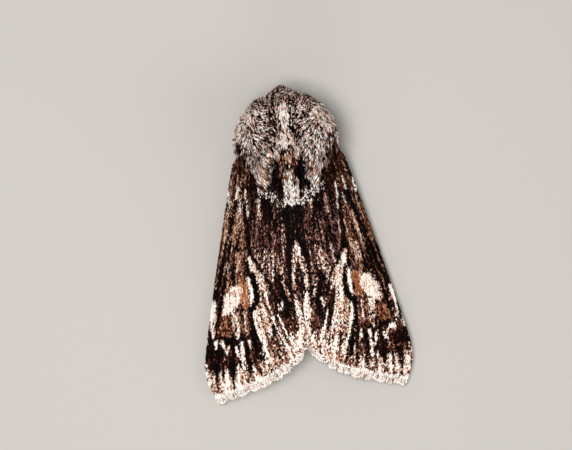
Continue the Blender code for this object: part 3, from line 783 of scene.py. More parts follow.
@dataclass(frozen=True)
class WingForm(Form):
    """Outer surface of one closed forewing, or a layer below it."""

    side: int
    depth: float = 0.0               # how far below the outer surface
    under: bool = False              # whether the surface looks down
    root: float = 6.2
    tornus: float = 24.7
    apex: float = 29.9

    def costa_offset(self, station: Array) -> Array:
        """Distance from the midline to the front edge."""
        run = station - self.root
        offset = 4.97 + 0.275 * run - 0.0012 * run ** 2
        offset = offset - 0.35 * np.exp(-(run / 0.7) ** 2)
        share = np.clip((station - 23.5) / (self.apex - 23.5), 0.0, 1.5)
        return offset - (offset - 8.6) * share ** 2.6

    def inner_offset(self, station: Array) -> Array:
        """Distance from the midline to the inner edge, tucked into the trunk's fur."""
        return 0.04 + 3.6 * np.clip((10.6 - station) / 4.4, 0.0, 1.0) ** 1.3

    def ridge_height(self, station: Array) -> Array:
        """Height at which the two wings meet over the midline."""
        share = np.clip((station - 11.5) / 13.2, 0.0, None)
        fore = 7.2 - 0.085 * np.maximum(0.0, 11.5 - station) ** 2
        return fore - 3.1 * share ** 1.35

    def relief(self, row: Array, column: Array) -> Array:
        """Low ridges over the veins, which fan out to the outer margin."""
        raised = np.zeros(len(row))
        for vein in (0.10, 0.23, 0.35, 0.46, 0.56, 0.66, 0.76, 0.86, 0.95):
            swing = 0.02 * np.sin(3 * row + 9 * vein)
            raised = raised + np.exp(-((column - vein - swing) / 0.022) ** 2)
        sunk = 0.05 * np.sin(column * 19 + 4 * row) * np.sin(5 * row + 2)
        return 0.055 * raised * ease(row, 0.1, 0.5) + sunk

    def points(self, along: Array, across: Array) -> Array:
        """Rows of points; across runs from the inner edge to the front edge."""
        inner_station = self.root + (self.tornus - self.root) * along
        outer_station = self.root + (self.apex - self.root) * along
        inner, outer = self.inner_offset(inner_station), self.costa_offset(outer_station)
        offset = inner + (outer - inner) * across
        fullness = 1.0 - 0.45 * np.clip(along, 0, 1) ** 2
        spread = np.clip(across, 1e-6, 1.1) ** fullness
        station = inner_station + (outer_station - inner_station) * spread
        fall = 1 - np.clip(offset / outer, 0, 1.1) ** 1.6
        low = 1.1 + 2.0 * np.exp(-(outer_station - self.root) / 3.2)
        height = low + (self.ridge_height(inner_station) - low) * fall
        height = height + self.relief(along, across) - self.depth
        return beside(self.side * offset, station, height)

    def outside(self, points: Array) -> Array:
        """Up for the outer surface and down for the underside."""
        return np.tile([0.2 * self.side, 0.0, -1.0 if self.under else 1.0], (len(points), 1))

    def height_over(self, offset: Array, station: Array) -> Array:
        """Height of the wing at a distance from the midline and a station near its root."""
        column = np.full(len(offset), 0.5)
        for _ in range(4):
            row = (station - self.root) / (self.tornus - self.root
                                           + (self.apex - self.tornus) * column)
            inner = self.inner_offset(self.root + (self.tornus - self.root) * row)
            outer = self.costa_offset(self.root + (self.apex - self.root) * row)
            column = np.clip((np.abs(offset) - inner) / (outer - inner), 0.0, 1.0)
        return self.points(np.clip(row, 0, 1), column)[:, 2]


@dataclass(frozen=True)
class ShoulderForm(TrunkForm):
    """Outer form of the thorax with its rear coat laid down on the roots of the wings."""

    settle: float = 3.1              # length over which the coat comes down
    groove: float = 0.70             # depth of the gaps beside the rear tuft
    gap_offset: float = 1.1          # where the gaps run
    gap_width: float = 0.34
    wing_gap: float = 0.10           # how far the laid coat stands over the wing

    def gap(self, offset: Array) -> Array:
        """Share from 0 to 1 of the gap beside the rear tuft."""
        return np.exp(-((np.abs(offset) - self.gap_offset) / self.gap_width) ** 2)

    def coat_end(self, offset: Array) -> Array:
        """Station of the last hair tips at a distance from the midline."""
        return np.interp(np.abs(offset), (0.0, 0.6, 0.9, 1.2, 1.6, 2.1, 2.5, 2.9, 3.4, 3.9, 4.4, 4.85),
                         (11.4, 10.9, 9.5, 8.9, 9.4, 9.9, 9.7, 9.1, 8.5, 8.0, 7.3, 6.5))

    def points(self, along: Array, across: Array) -> Array:
        """Rows of points; across runs from the belly over the left side to the crest."""
        points = super().points(along, across)
        offset, station, height = points.T
        end = self.coat_end(offset)
        wing = WingForm(1).height_over(offset, np.maximum(station, 6.3)) + self.wing_gap
        gap = self.gap(offset) * ease(station, 6.9, 7.6)
        gap = gap * (1 - ease(station, 10.0, 10.6))
        upper = (height > wing) & (np.abs(across - 0.5) < 0.25)
        down = ease(station, end - self.settle, end + 0.15)
        laid = height - self.groove * gap
        laid = laid + (np.minimum(wing, laid) - laid) * down
        return beside(offset, station, np.where(upper, laid, height))


@dataclass(frozen=True)
class HindwingForm(WingForm):
    """One hindwing, folded flat under the forewing."""

    def points(self, along: Array, across: Array) -> Array:
        """Rows of points; across runs from the inner edge outwards."""
        reach = 0.30 + 0.36 * np.sin(math.pi / 2 * np.clip(along, 0, 1))
        return super().points(0.20 + 0.68 * along, 0.10 + reach * across)


@dataclass(frozen=True)
class TubeForm(Form):
    """A round limb along a route of (offset, station, height, radius) rows."""

    route: Array

    def points(self, along: Array, across: Array) -> Array:
        """Rows of points; across runs round the limb."""
        here = self.rows_at(along)
        forward = unit((self.rows_at(along + 0.01) - self.rows_at(along - 0.01))[:, :3])
        sideways = unit(np.cross(forward, np.array([0.0, 0.0, 1.0]) + 1e-6))
        upward = np.cross(sideways, forward)
        angle = 2 * math.pi * across
        spoke = sideways * np.cos(angle)[:, None] + upward * np.sin(angle)[:, None]
        return here[:, :3] + spoke * here[:, 3:]

    def rows_at(self, along: Array) -> Array:
        """Middle and radius of the limb at the given shares."""
        shares = np.linspace(0.0, 1.0, len(self.route))
        return np.column_stack([np.interp(along, shares, axis) for axis in self.route.T])

    def bare_mesh(self, around: int) -> Mesh:
        """The limb without its coat, with this many points to a ring."""
        count = len(self.route)
        row = np.repeat(np.linspace(0, 1, count), around)
        column = np.tile(np.arange(around) / around, count)
        return ring_mesh(self.points(row, column).reshape(count, around, 3))

    def outside(self, points: Array) -> Array:
        """Away from the nearest point of the route."""
        gaps = ((points[:, None, :] - self.route[None, :, :3]) ** 2).sum(axis=2)
        return points - self.route[gaps.argmin(axis=1), :3]


# ------------------------------------------------------------------ coats

@dataclass(frozen=True)
class Lock:
    """A lock of tapered hairs, of unit length and width: roots near the origin, tips to +Y."""

    name: str
    hairs: int = 1
    spread: float = 1.0              # width over which the tips stand
    half_width: float = 0.5          # of one hair, at its widest
    rise: float = 0.10               # how far its middle bows out
    crown: float = 0.035             # height of a hair's keel
    joints: tuple[tuple[float, float], ...] = ((0.35, 0.84), (0.72, 1.0))

    def build(self) -> Object:
        """Make the lock's hairs, each a closed three-sided spike."""
        points, faces = [], []
        rng = np.random.default_rng(5)
        for number in range(self.hairs):
            lean = (number + 0.5) / self.hairs - 0.5
            reach = 1.0 if self.hairs == 1 else rng.uniform(0.74, 1.0)
            lift = 0.0 if self.hairs == 1 else rng.uniform(-0.03, 0.03)
            self.add_hair(points, faces, lean * self.spread, reach, lift)
        return template(self.name, points, faces)

    def add_hair(self, points: list, faces: list, lean: float, reach: float,
                 lift: float) -> None:
        """Add one hair.

        Args:
            points: corners so far.
            faces: faces so far.
            lean: how far aside its tip stands.
            reach: its length.
            lift: how far its tip stands out.
        """
        root = len(points)
        points.append((0.35 * lean, 0.0, 0.0))
        last = (root, root, root)
        for share, width in self.joints:
            start = len(points)
            middle = lean * (0.35 + 0.65 * share ** 1.5)
            half, bow = self.half_width * width, self.rise * math.sin(math.pi * share ** 0.8)
            bow = bow + lift * share
            points += [(middle - half, share * reach, bow), (middle + half, share * reach, bow),
                       (middle, share * reach, bow + self.crown)]
            ring = (start, start + 1, start + 2)
            for index in range(3):
                after = (index + 1) % 3
                side = [last[index], last[after], ring[after], ring[index]]
                faces.append(tuple(dict.fromkeys(side)))
            last = ring
        tip = len(points)
        points.append((lean, reach, lift))
        faces += [(last[index], last[(index + 1) % 3], tip) for index in range(3)]


def template(name: str, points: Sequence[Sequence[float]],
             faces: Sequence[Sequence[int]]) -> Object:
    """Make an unlinked object that a coat copies.

    Args:
        name: its name.
        points: corners, of a vane of unit length and width.
        faces: corner numbers of each face.

    Returns:
        The object, with attributes for its place on the vane's patch and along its length.
    """
    mesh = bpy.data.meshes.new(name)
    mesh.from_pydata(points, [], faces)
    turn_outwards(opened(mesh), mesh)
    corners = np.array(points, float)
    spot = beside(np.clip(corners[:, 0], -0.5, 0.5), corners[:, 1] - 0.5, 0 * corners[:, 2])
    set_attribute(mesh, "vane_spot", spot)
    set_attribute(mesh, "reach", corners[:, 1])
    return bpy.data.objects.new(name, mesh)


def flat_scale(name: str) -> Object:
    """One wing scale: narrow root, low keel and a blunt point, four faces."""
    points = ((0.0, 0.0, 0.0), (-0.5, 0.82, 0.0), (0.5, 0.82, 0.0), (0.0, 1.0, 0.13))
    return template(name, points, [(0, 1, 3), (0, 3, 2), (1, 2, 3), (0, 2, 1)])


def coat_tree() -> NodeTree:
    """Geometry nodes that copy a vane to every root and turn, size and map each copy."""
    tree = bpy.data.node_groups.new("lay_vanes", "GeometryNodeTree")
    for name, kind in (("Roots", "Geometry"), ("Vane", "Object"), ("Finish", "Material"),
                       ("Patch width", "Float")):
        tree.interface.new_socket(name, in_out="INPUT", socket_type="NodeSocket" + kind)
    tree.interface.new_socket("Coat", in_out="OUTPUT", socket_type="NodeSocketGeometry")
    given = add_node(tree, "NodeGroupInput")
    read = {}
    for name in VANE_ATTRIBUTES:
        node = add_node(tree, "GeometryNodeInputNamedAttribute", {"Name": name},
                        data_type="FLOAT_VECTOR")
        read[name] = node.outputs["Attribute"]
    vane = add_node(tree, "GeometryNodeObjectInfo", {"Object": given.outputs["Vane"]})
    turn = add_node(tree, "FunctionNodeAxesToRotation",
                    {"Primary Axis": read["chord"], "Secondary Axis": read["normal"]},
                    primary_axis="Y", secondary_axis="Z")
    copies = add_node(tree, "GeometryNodeInstanceOnPoints",
                      {"Points": given.outputs["Roots"], "Instance": vane.outputs["Geometry"],
                       "Rotation": turn.outputs["Rotation"], "Scale": read["size"]})
    real = add_node(tree, "GeometryNodeRealizeInstances", {"Geometry": copies.outputs[0]})
    spread = add_node(tree, "ShaderNodeVectorMath",
                      {0: read["vane_spot"], "Scale": given.outputs["Patch width"]},
                      operation="SCALE")
    spot = add_node(tree, "ShaderNodeVectorMath", {0: read["root_spot"], 1: spread.outputs[0]},
                    operation="ADD")
    mapped = add_node(tree, "GeometryNodeStoreNamedAttribute",
                      {"Geometry": real.outputs[0], "Name": UNWRAP, "Value": spot.outputs[0]},
                      data_type="FLOAT2", domain="CORNER")
    dressed = add_node(tree, "GeometryNodeSetMaterial",
                       {"Geometry": mapped.outputs[0], "Material": given.outputs["Finish"]})
    add_node(tree, "NodeGroupOutput", {"Coat": dressed.outputs[0]})
    return tree


@dataclass(frozen=True)
class Growth:
    """Where the vanes of a coat stand, and how each is turned, sized and coloured."""

    roots: Array
    chords: Array
    normals: Array
    sizes: Array                     # width, length and bulge, in millimetres
    colours: Array
    spots: Array                     # share across and along at each root, for the unwrap

    def joined(self, other: "Growth") -> "Growth":
        """This growth and another as one."""
        pairs = zip(vars(self).values(), vars(other).values())
        return Growth(*(np.concatenate(pair) for pair in pairs))


def even_spots(spots: Array) -> Array:
    """Spread roots over an unwrap in even rows, in their own order, so that no patches meet."""
    count = len(spots)
    side = math.ceil(math.sqrt(count))
    order = np.argsort(spots[:, 1], kind="stable")
    spread = np.empty((count, 2))
    for start in range(0, count, side):
        row = order[start:start + side]
        row = row[np.argsort(spots[row, 0], kind="stable")]
        spread[row, 0] = (np.arange(len(row)) + 0.5) / len(row)
        spread[row, 1] = (start / side + 0.5) / side
    return spread


@dataclass(frozen=True)
class Workshop:
    """What the coats share: the tree that lays vanes, the vanes and the finishes."""

    tree: NodeTree
    scale: Object
    hair: Object
    lock: Object
    powder: Material
    fur: Material
    film: Material
    horn: Material

    def coat(self, name: str, growth: Growth, vane: Object,
             finish: Material, slot: str) -> None:
        """Copy a vane to every root and add the result as one piece.

        Args:
            name: name of the piece.
            growth: the roots and what each carries.
            vane: the object to copy.
            finish: the coat's material.
            slot: not used.
        """
        seed = bpy.data.meshes.new(name + "_roots")
        seed.vertices.add(len(growth.roots))
        seed.vertices.foreach_set("co", place(growth.roots).astype(np.float32).ravel())
        spots = PATCH_MARGIN + (1 - 2 * PATCH_MARGIN) * even_spots(growth.spots)
        for label, values in (("chord", growth.chords), ("normal", growth.normals),
                              ("size", growth.sizes * MM), ("root_spot", beside(spots, spots[:, 0] * 0)),
                              ("tone", with_alpha(growth.colours))):
            set_attribute(seed, label, values)
        holder = bpy.data.objects.new(name + "_roots", seed)
        link(holder)
        laid = holder.modifiers.new("lay_vanes", "NODES")
        laid.node_group = self.tree
        values = {"Vane": vane, "Finish": finish, "Patch width": PATCH}
        for socket in self.tree.interface.items_tree:
            if socket.name in values:
                laid[socket.identifier] = values[socket.name]
        graph = bpy.context.evaluated_depsgraph_get()
        mesh = bpy.data.meshes.new_from_object(holder.evaluated_get(graph))
        bpy.data.objects.remove(holder, do_unlink=True)
        bpy.data.meshes.remove(seed)
        for extra in VANE_ATTRIBUTES:
            if extra in mesh.attributes:
                mesh.attributes.remove(mesh.attributes[extra])
        add_piece(name, mesh, finish, smooth=vane != self.scale)

    def clear(self) -> None:
        """Remove the vanes, which no piece needs any more."""
        for vane in (self.scale, self.hair, self.lock):
            bpy.data.objects.remove(vane, do_unlink=True)


def sow(form: Form, count: int, seed: int,
        density: Callable[[Array, Array], Array] | None = None,
        span: Span = (0.0, 1.0, 0.0, 1.0)) -> tuple[Array, Array]:
    """Choose evenly spread places on a form.

    Args:
        form: the surface.
        count: how many places.
        seed: picks the places.
        density: share from 0 to 1 for points and shares across, which thins the places out.
        span: first and last share along, then across.

    Returns:
        The shares along and across of each place.
    """
    rng = np.random.default_rng(seed)
    side = int(math.sqrt(3 * count)) + 1
    row, column = np.divmod(np.arange(side * side), side)
    along = span[0] + (span[1] - span[0]) * (row + rng.random(side * side)) / side
    across = span[2] + (span[3] - span[2]) * (column + rng.random(side * side)) / side
    run, turn = form.slopes(along, across)
    weight = np.linalg.norm(np.cross(run, turn), axis=1) + 1e-9
    if density is not None:
        weight = weight * np.maximum(density(form.points(along, across), across), 1e-9)
    order = np.argpartition(rng.exponential(size=side * side) / weight, count)[:count]
    return along[order], across[order]


# ------------------------------------------------------------------ finishes

def start_finish(name: str) -> tuple[Material, Node, NodeSocket]:
    """Begin a material.

    Args:
        name: its name.

    Returns:
        The material, its shader and the socket of the piece's own coordinates.
    """
    material = bpy.data.materials.new(name)
    material.use_nodes = True
    place_on = add_node(material.node_tree, "ShaderNodeTexCoord")
    return material, material.node_tree.nodes["Principled BSDF"], place_on.outputs["Object"]


@dataclass(frozen=True)
class LamellarScales:
    """Dry overlapping chitin scales or hairs: matt, powdery, each darker towards its root, with painted
    light and shade of fine ridges.
    """

    name: str
    root: str = "#150d0b"
    root_share: float = 0.35         # how much of the root's colour shows at the very base
    root_until: float = 0.6          # share of the length at which the tip's colour is full
    roughness: float = 0.7
    gloss: float = 0.02
    ridge_mm: float = 0.03           # fine ridges, painted as light and shade in the colour, coarser than life so that they show

    def build(self) -> Material:
        """Make the material; it reads each vane's own tone and the share of its length, and paints the
        light and shade of fine ridges.
        """
        material, shader, spot = start_finish(self.name)
        tree = material.node_tree
        tone = add_node(tree, "ShaderNodeAttribute", attribute_name="tone")
        reach = add_node(tree, "ShaderNodeAttribute", attribute_name="reach")
        fade = add_node(tree, "ShaderNodeMapRange",
                        {"Value": reach.outputs["Fac"], "From Min": 0.0,
                         "From Max": self.root_until, "To Min": self.root_share, "To Max": 0.0})
        mixed = add_node(tree, "ShaderNodeMix",
                         {"Factor": fade.outputs["Result"], 6: tone.outputs["Color"],
                          7: (*linear(self.root), 1.0)}, data_type="RGBA")
        # painted light and shade of the ridges: a noise darkens and lightens the colour
        ridges = add_node(tree, "ShaderNodeTexNoise",
                          {"Vector": spot, "Scale": 1 / (self.ridge_mm * MM), "Detail": 1.0})
        shade = add_node(tree, "ShaderNodeMapRange",
                         {"Value": ridges.outputs["Fac"], "From Min": 0.3, "From Max": 0.7,
                          "To Min": 0.82, "To Max": 1.1})
        painted_ridge_shade = add_node(tree, "ShaderNodeMix",
                          {"Factor": 1.0, 6: mixed.outputs[2], 7: shade.outputs["Result"]},
                          data_type="RGBA", blend_type="MULTIPLY")
        wire(shader, {"Base Color": painted_ridge_shade.outputs[2], "Roughness": self.roughness,
                      "Specular IOR Level": self.gloss})
        return material


@dataclass(frozen=True)
class Cuticle:
    """Sclerotised chitin: a thin brown horn with a soft gloss and fine wrinkles, painted darker in their
    hollows as shade.
    """

    name: str
    colour: str = "#2b1a13"
    # colour between the wrinkles; the colour in their hollows is darker as painted shade
    light: str = "#4a3126"
    roughness: float = 0.45
    gloss: float = 0.2
    wrinkle_mm: float = 0.12
    from_markings: bool = False      # takes its colour from the markings of the coat above
    painted_light_between_wrinkles: tuple[float, ...] = (1.25, 1.2, 1.18, 1.0)     # times that colour, between wrinkles; the darker hollows are painted shade

    def build(self) -> Material:
        """Make the material."""
        material, shader, spot = start_finish(self.name)
        tree = material.node_tree
        wrinkles = add_node(tree, "ShaderNodeTexNoise",
                            {"Vector": spot, "Scale": 1 / (self.wrinkle_mm * MM), "Detail": 4.0})
        if self.from_markings:
            base = add_node(tree, "ShaderNodeAttribute", attribute_name="tone").outputs["Color"]
            light = add_node(tree, "ShaderNodeMix", {"Factor": 1.0, 6: base, 7: self.painted_light_between_wrinkles},
                             data_type="RGBA", blend_type="MULTIPLY").outputs[2]
        else:
            base, light = (*linear(self.colour), 1.0), (*linear(self.light), 1.0)
        # painted shade: the colour follows the bump, darker in the wrinkles' hollows and lighter between
        # them
        mixed = add_node(tree, "ShaderNodeMix",
                         {"Factor": wrinkles.outputs["Fac"], 6: base, 7: light},
                         data_type="RGBA")
        bump = add_node(tree, "ShaderNodeBump",
                        {"Height": wrinkles.outputs["Fac"], "Strength": 0.5,
                         "Distance": 0.3 * self.wrinkle_mm * MM})
        wire(shader, {"Base Color": mixed.outputs[2], "Normal": bump.outputs["Normal"],
                      "Roughness": self.roughness, "Specular IOR Level": self.gloss})
        return material


@dataclass(frozen=True)
class CompoundEye:
    """Polished lens facets over dark pigment: near black with brown depth and a tight gloss."""

    name: str = "compound_eye_facets"
    colour: str = "#0c0604"
    depth: str = "#2a170d"
    facet_mm: float = 0.055          # about twice life size, so that the facets show
    cloud_mm: float = 0.5            # size of the brown clouds in the depth

    def build(self) -> Material:
        """Make the material."""
        material, shader, spot = start_finish(self.name)
        tree = material.node_tree
        facets = add_node(tree, "ShaderNodeTexVoronoi",
                          {"Vector": spot, "Scale": 1 / (self.facet_mm * MM), "Randomness": 0.25})
        cloud = add_node(tree, "ShaderNodeTexNoise",
                         {"Vector": spot, "Scale": 1 / (self.cloud_mm * MM)})
        mixed = add_node(tree, "ShaderNodeMix",
                         {"Factor": cloud.outputs["Fac"], 6: (*linear(self.colour), 1.0),
                          7: (*linear(self.depth), 1.0)}, data_type="RGBA")
        bump = add_node(tree, "ShaderNodeBump",
                        {"Height": facets.outputs["Distance"], "Strength": 0.6,
                         "Distance": 0.2 * self.facet_mm * MM}, invert=True)
        wire(shader, {"Base Color": mixed.outputs[2], "Normal": bump.outputs["Normal"],
                      "Roughness": 0.22, "Specular IOR Level": 0.25, "Coat Weight": 0.12,
                      "Coat Roughness": 0.05})
        return material


@dataclass(frozen=True)
class PaintedBoard:
    """Matt painted board: a plain pale ground that throws soft light back up."""

    name: str = "painted_board"
    colour: str = "#aba7a1"
    roller_mm: float = 2.0           # size of the marks that the roller left

    def build(self) -> Material:
        """Make the material."""
        material, shader, spot = start_finish(self.name)
        tree = material.node_tree
        roller = add_node(tree, "ShaderNodeTexNoise",
                          {"Vector": spot, "Scale": 1 / (self.roller_mm * MM)})
        bump = add_node(tree, "ShaderNodeBump",
                        {"Height": roller.outputs["Fac"], "Strength": 0.05,
                         "Distance": 0.1 * MM})
        wire(shader, {"Normal": bump.outputs["Normal"], "Roughness": 0.9,
                      "Base Color": (*linear(self.colour), 1.0)})
        return material


# ------------------------------------------------------------------ sub-assemblies

GREY_FUR = blend(black=0.38, umber=0.12, brown=0.03, mouse=0.03, ash=0.12, cream=0.13, white=0.19)
PAINTED_LIGHT_FUR = blend(black=0.13, umber=0.10, brown=0.02, mouse=0.02, ash=0.16, cream=0.24, white=0.33)
# dark fur; beside the crest it is also used as painted shadow of the furrows
DARK_FUR = blend(black=0.68, umber=0.14, mouse=0.05, ash=0.04, cream=0.05, white=0.04)
COLLAR_FUR = blend(black=0.38, umber=0.14, brown=0.12, mouse=0.06, ash=0.08, cream=0.14, white=0.08)
TAN_FUR = blend(black=0.12, brown=0.10, tan=0.25, ash=0.12, cream=0.24, white=0.17)

FUR_LAYERS = (
    Zone(COLLAR_FUR, -5.0, 2.1, -1.0, 99.0, 1.2),
    Zone(blend(black=0.42, umber=0.12, brown=0.03, mouse=0.03, ash=0.11, cream=0.11, white=0.18),
         2.1, 4.8, -1.0, 3.2, 1.2),
    # the lit shoulders: painted light, the fur painted paler where the light falls on them
    Mark(PAINTED_LIGHT_FUR, ((3.5, 2.9, 1.0), (4.4, 4.2, 0.9), (4.55, 5.4, 0.5)), 0.9, 0.25),
    # the crest: dark flanks painted as the shadow in the furrows beside it, a white waist and point
    Mark(DARK_FUR,
         ((0.95, 1.9, 0.5), (0.9, 3.0, 1.1), (0.8, 3.9, 1.1), (1.05, 4.8, 0.7), (1.2, 5.6, 0.3)),
         0.85, 0.15),
    Mark(blend(black=0.16, mouse=0.07, ash=0.13, cream=0.24, white=0.4),
         ((0.0, 2.1, 0.6), (0.0, 3.0, 0.9), (0.0, 3.9, 0.34), (0.0, 4.5, 0.8), (0.0, 5.2, 1.25),
          (0.0, 5.9, 1.35)), 1.0, 0.02),
    Mark(TAN_FUR, ((0.55, 4.5, 0.1), (0.8, 5.4, 0.18), (0.85, 6.3, 0.22), (1.0, 6.9, 0.35)), 0.92),
    Mark(DARK_FUR, ((-0.1, 6.15, 0.7), (0.2, 6.3, 0.8)), 0.95),
    # the rear tuft: brown, then black beside ochre and white
    Mark(blend(black=0.52, umber=0.27, brown=0.14, tan=0.07), ((0.0, 6.95, 1.6), (0.0, 8.4, 1.5)), 0.97),
    Mark(blend(tan=0.45, brown=0.2, cream=0.25, black=0.1), ((0.0, 6.7, 0.8), (0.0, 7.0, 0.4)), 0.9),
    Mark(TAN_FUR, ((1.2, 6.2, 0.3), (1.4, 8.6, 0.4)), 0.85, 0.12),
    # black gaps beside the tuft: partly dark fur, partly painted shade of the gaps
    Mark(INK, ((1.1, 7.2, 0.7), (1.1, 8.6, 0.9), (1.15, 9.9, 0.8)), 1.0),
    Mark(blend(black=0.38, umber=0.12, ochre=0.38, white=0.12),
         ((0.0, 8.4, 0.8), (0.0, 9.6, 1.2)), 0.95, 0.08),
    Mark(blend(black=0.11, ochre=0.09, white=0.8),
         ((0.0, 9.0, 0.5), (0.0, 9.7, 0.95), (0.0, 11.4, 1.4)), 0.98, 0.08),
    # the shoulder lobes' tips
    Mark(TAN_FUR, ((2.0, 7.6, 0.8), (2.0, 9.2, 1.1)), 0.85, 0.2),
    Mark(CHALK, ((2.1, 9.2, 0.9), (2.1, 10.0, 0.9)), 0.9, 0.15),
    # the wings' roots
    Mark(SOOT, ((4.1, 5.2, 0.4), (4.35, 6.2, 1.0), (4.3, 8.2, 1.3)), 0.96, 0.12),
    Mark(FAWN, ((4.5, 6.0, 0.14), (4.9, 7.4, 0.16)), 0.85),
    Mark(RUSSET, ((4.1, 5.6, 0.12), (4.2, 7.6, 0.2)), 0.7),
)
FUR_PATTERN = Pattern(GREY_FUR, FUR_LAYERS, warp=0.05, grain=0.10, streak=0.3, scatter=0.4)
BELLY_PATTERN = Pattern(
    blend(black=0.10, umber=0.26, brown=0.10, mouse=0.26, ash=0.18, cream=0.10), (), scatter=0.8)
HINDWING_PATTERN = Pattern(
    ground=blend(mouse=0.10, ash=0.30, cream=0.45, white=0.15),
    layers=(Zone(blend(umber=0.3, mouse=0.4, ash=0.3), 25.0, 40.0),), scatter=0.9)
UNDERSIDE_PATTERN = Pattern(
    ground=blend(umber=0.12, mouse=0.30, tan=0.10, ash=0.28, cream=0.20),
    layers=(Mark(SOOT, ((5.8, 19.2, 0.8), (6.2, 20.4, 0.8))),
            Zone(blend(umber=0.3, mouse=0.4, cream=0.3), 26.5, 40.0)), scatter=0.9)
LIMB_GROUND = blend(black=0.2, umber=0.26, mouse=0.16, ash=0.2, cream=0.18)


@dataclass(frozen=True)
class BodySkin:
    """One skin over head, thorax and abdomen, below the coat by the coat's depth."""

    rings: int = 110
    around: int = 72
    shade: float = 0.25              # painted shade: share of the light that comes through the coat
    waist: float = 9.6               # station from which the skin is the abdomen's
    flank: float = 4.0               # height below which it is the breast's
    # station, half width, top, underside
    profile: tuple[tuple[float, float, float, float], ...] = (
        (0.95, 0.10, 5.05, 4.90), (1.1, 0.55, 5.40, 4.50), (1.5, 1.00, 5.80, 3.85),
        (2.1, 1.35, 6.05, 3.30), (2.9, 1.45, 6.15, 3.10), (3.5, 1.40, 6.35, 3.05),
        (4.2, 2.40, 7.15, 2.95), (5.4, 3.30, 7.60, 2.75), (6.6, 3.40, 7.20, 2.70),
        (8.0, 2.70, 6.30, 2.85), (9.2, 1.60, 5.00, 2.90), (10.0, 1.40, 4.30, 2.10),
        (11.2, 1.75, 4.25, 1.30), (13.0, 2.02, 4.35, 0.80), (16.0, 1.95, 4.25, 0.85),
        (19.0, 1.62, 3.95, 1.05), (21.4, 0.95, 3.30, 1.45), (22.3, 0.12, 2.60, 2.30))

    def build(self, finish: Material) -> None:
        """Loft the skin and paint it with the coat's own markings, darkened as painted shade."""
        angle = 2 * math.pi * np.arange(self.around) / self.around
        rows = []
        for station, half, top, low in smooth_route(self.profile, self.rings):
            height = (top + low) / 2 + (top - low) / 2 * np.sin(angle)
            rows.append(beside(half * np.cos(angle), np.full(self.around, station), height))
        mesh = ring_mesh(np.array(rows))
        tint(mesh, self.colours)
        add_piece("body_skin", mesh, finish, ("head", "thorax", "abdomen"))

    def colours(self, points: Array) -> Array:
        """The coat's average colour at each point, darkened as painted shade of the hair above."""
        belly = (points[:, 1] > self.waist) | (points[:, 2] < self.flank)
        mean = np.where(belly[:, None], BELLY_PATTERN.mean(points), FUR_PATTERN.mean(points))
        return self.shade * mean


def hair_growth(form: Form, along: Array, across: Array, lie: Array, length: Array,
                width: Array, rise: Array, pattern: Pattern, seed: int,
                bulge: float = 0.9) -> Growth:
    """Grow hairs whose tips reach a form's surface.

    Args:
        form: the coat's outer form.
        along: share along the form of each tip.
        across: share across the form of each tip.
        lie: direction of each hair at its tip, along the surface.
        length: millimetres, for each hair.
        width: millimetres, for each hair.
        rise: sine of each hair's slope from the body.
        pattern: markings, read where the hair shows.
        seed: picks the colours.
        bulge: how far the hair bows outwards, times its template's bow, for its length.

    Returns:
        The growth, its roots below the surface.
    """
    tips, normals, _, _ = form.frame(along, across)
    chords = unit(lie * np.sqrt(1 - rise ** 2)[:, None] + normals * rise[:, None])
    roots = tips - chords * length[:, None]
    shown = tips - HAIR_SHOWS_AT * chords * length[:, None]
    sizes = beside(width, length, bulge * length)
    back = length * np.sqrt(1 - rise ** 2)
    spots = beside(across, np.clip(along - back / COAT_RUN, 0, 1))
    return Growth(roots, chords, normals, sizes, pattern.pick(shown, seed), spots)


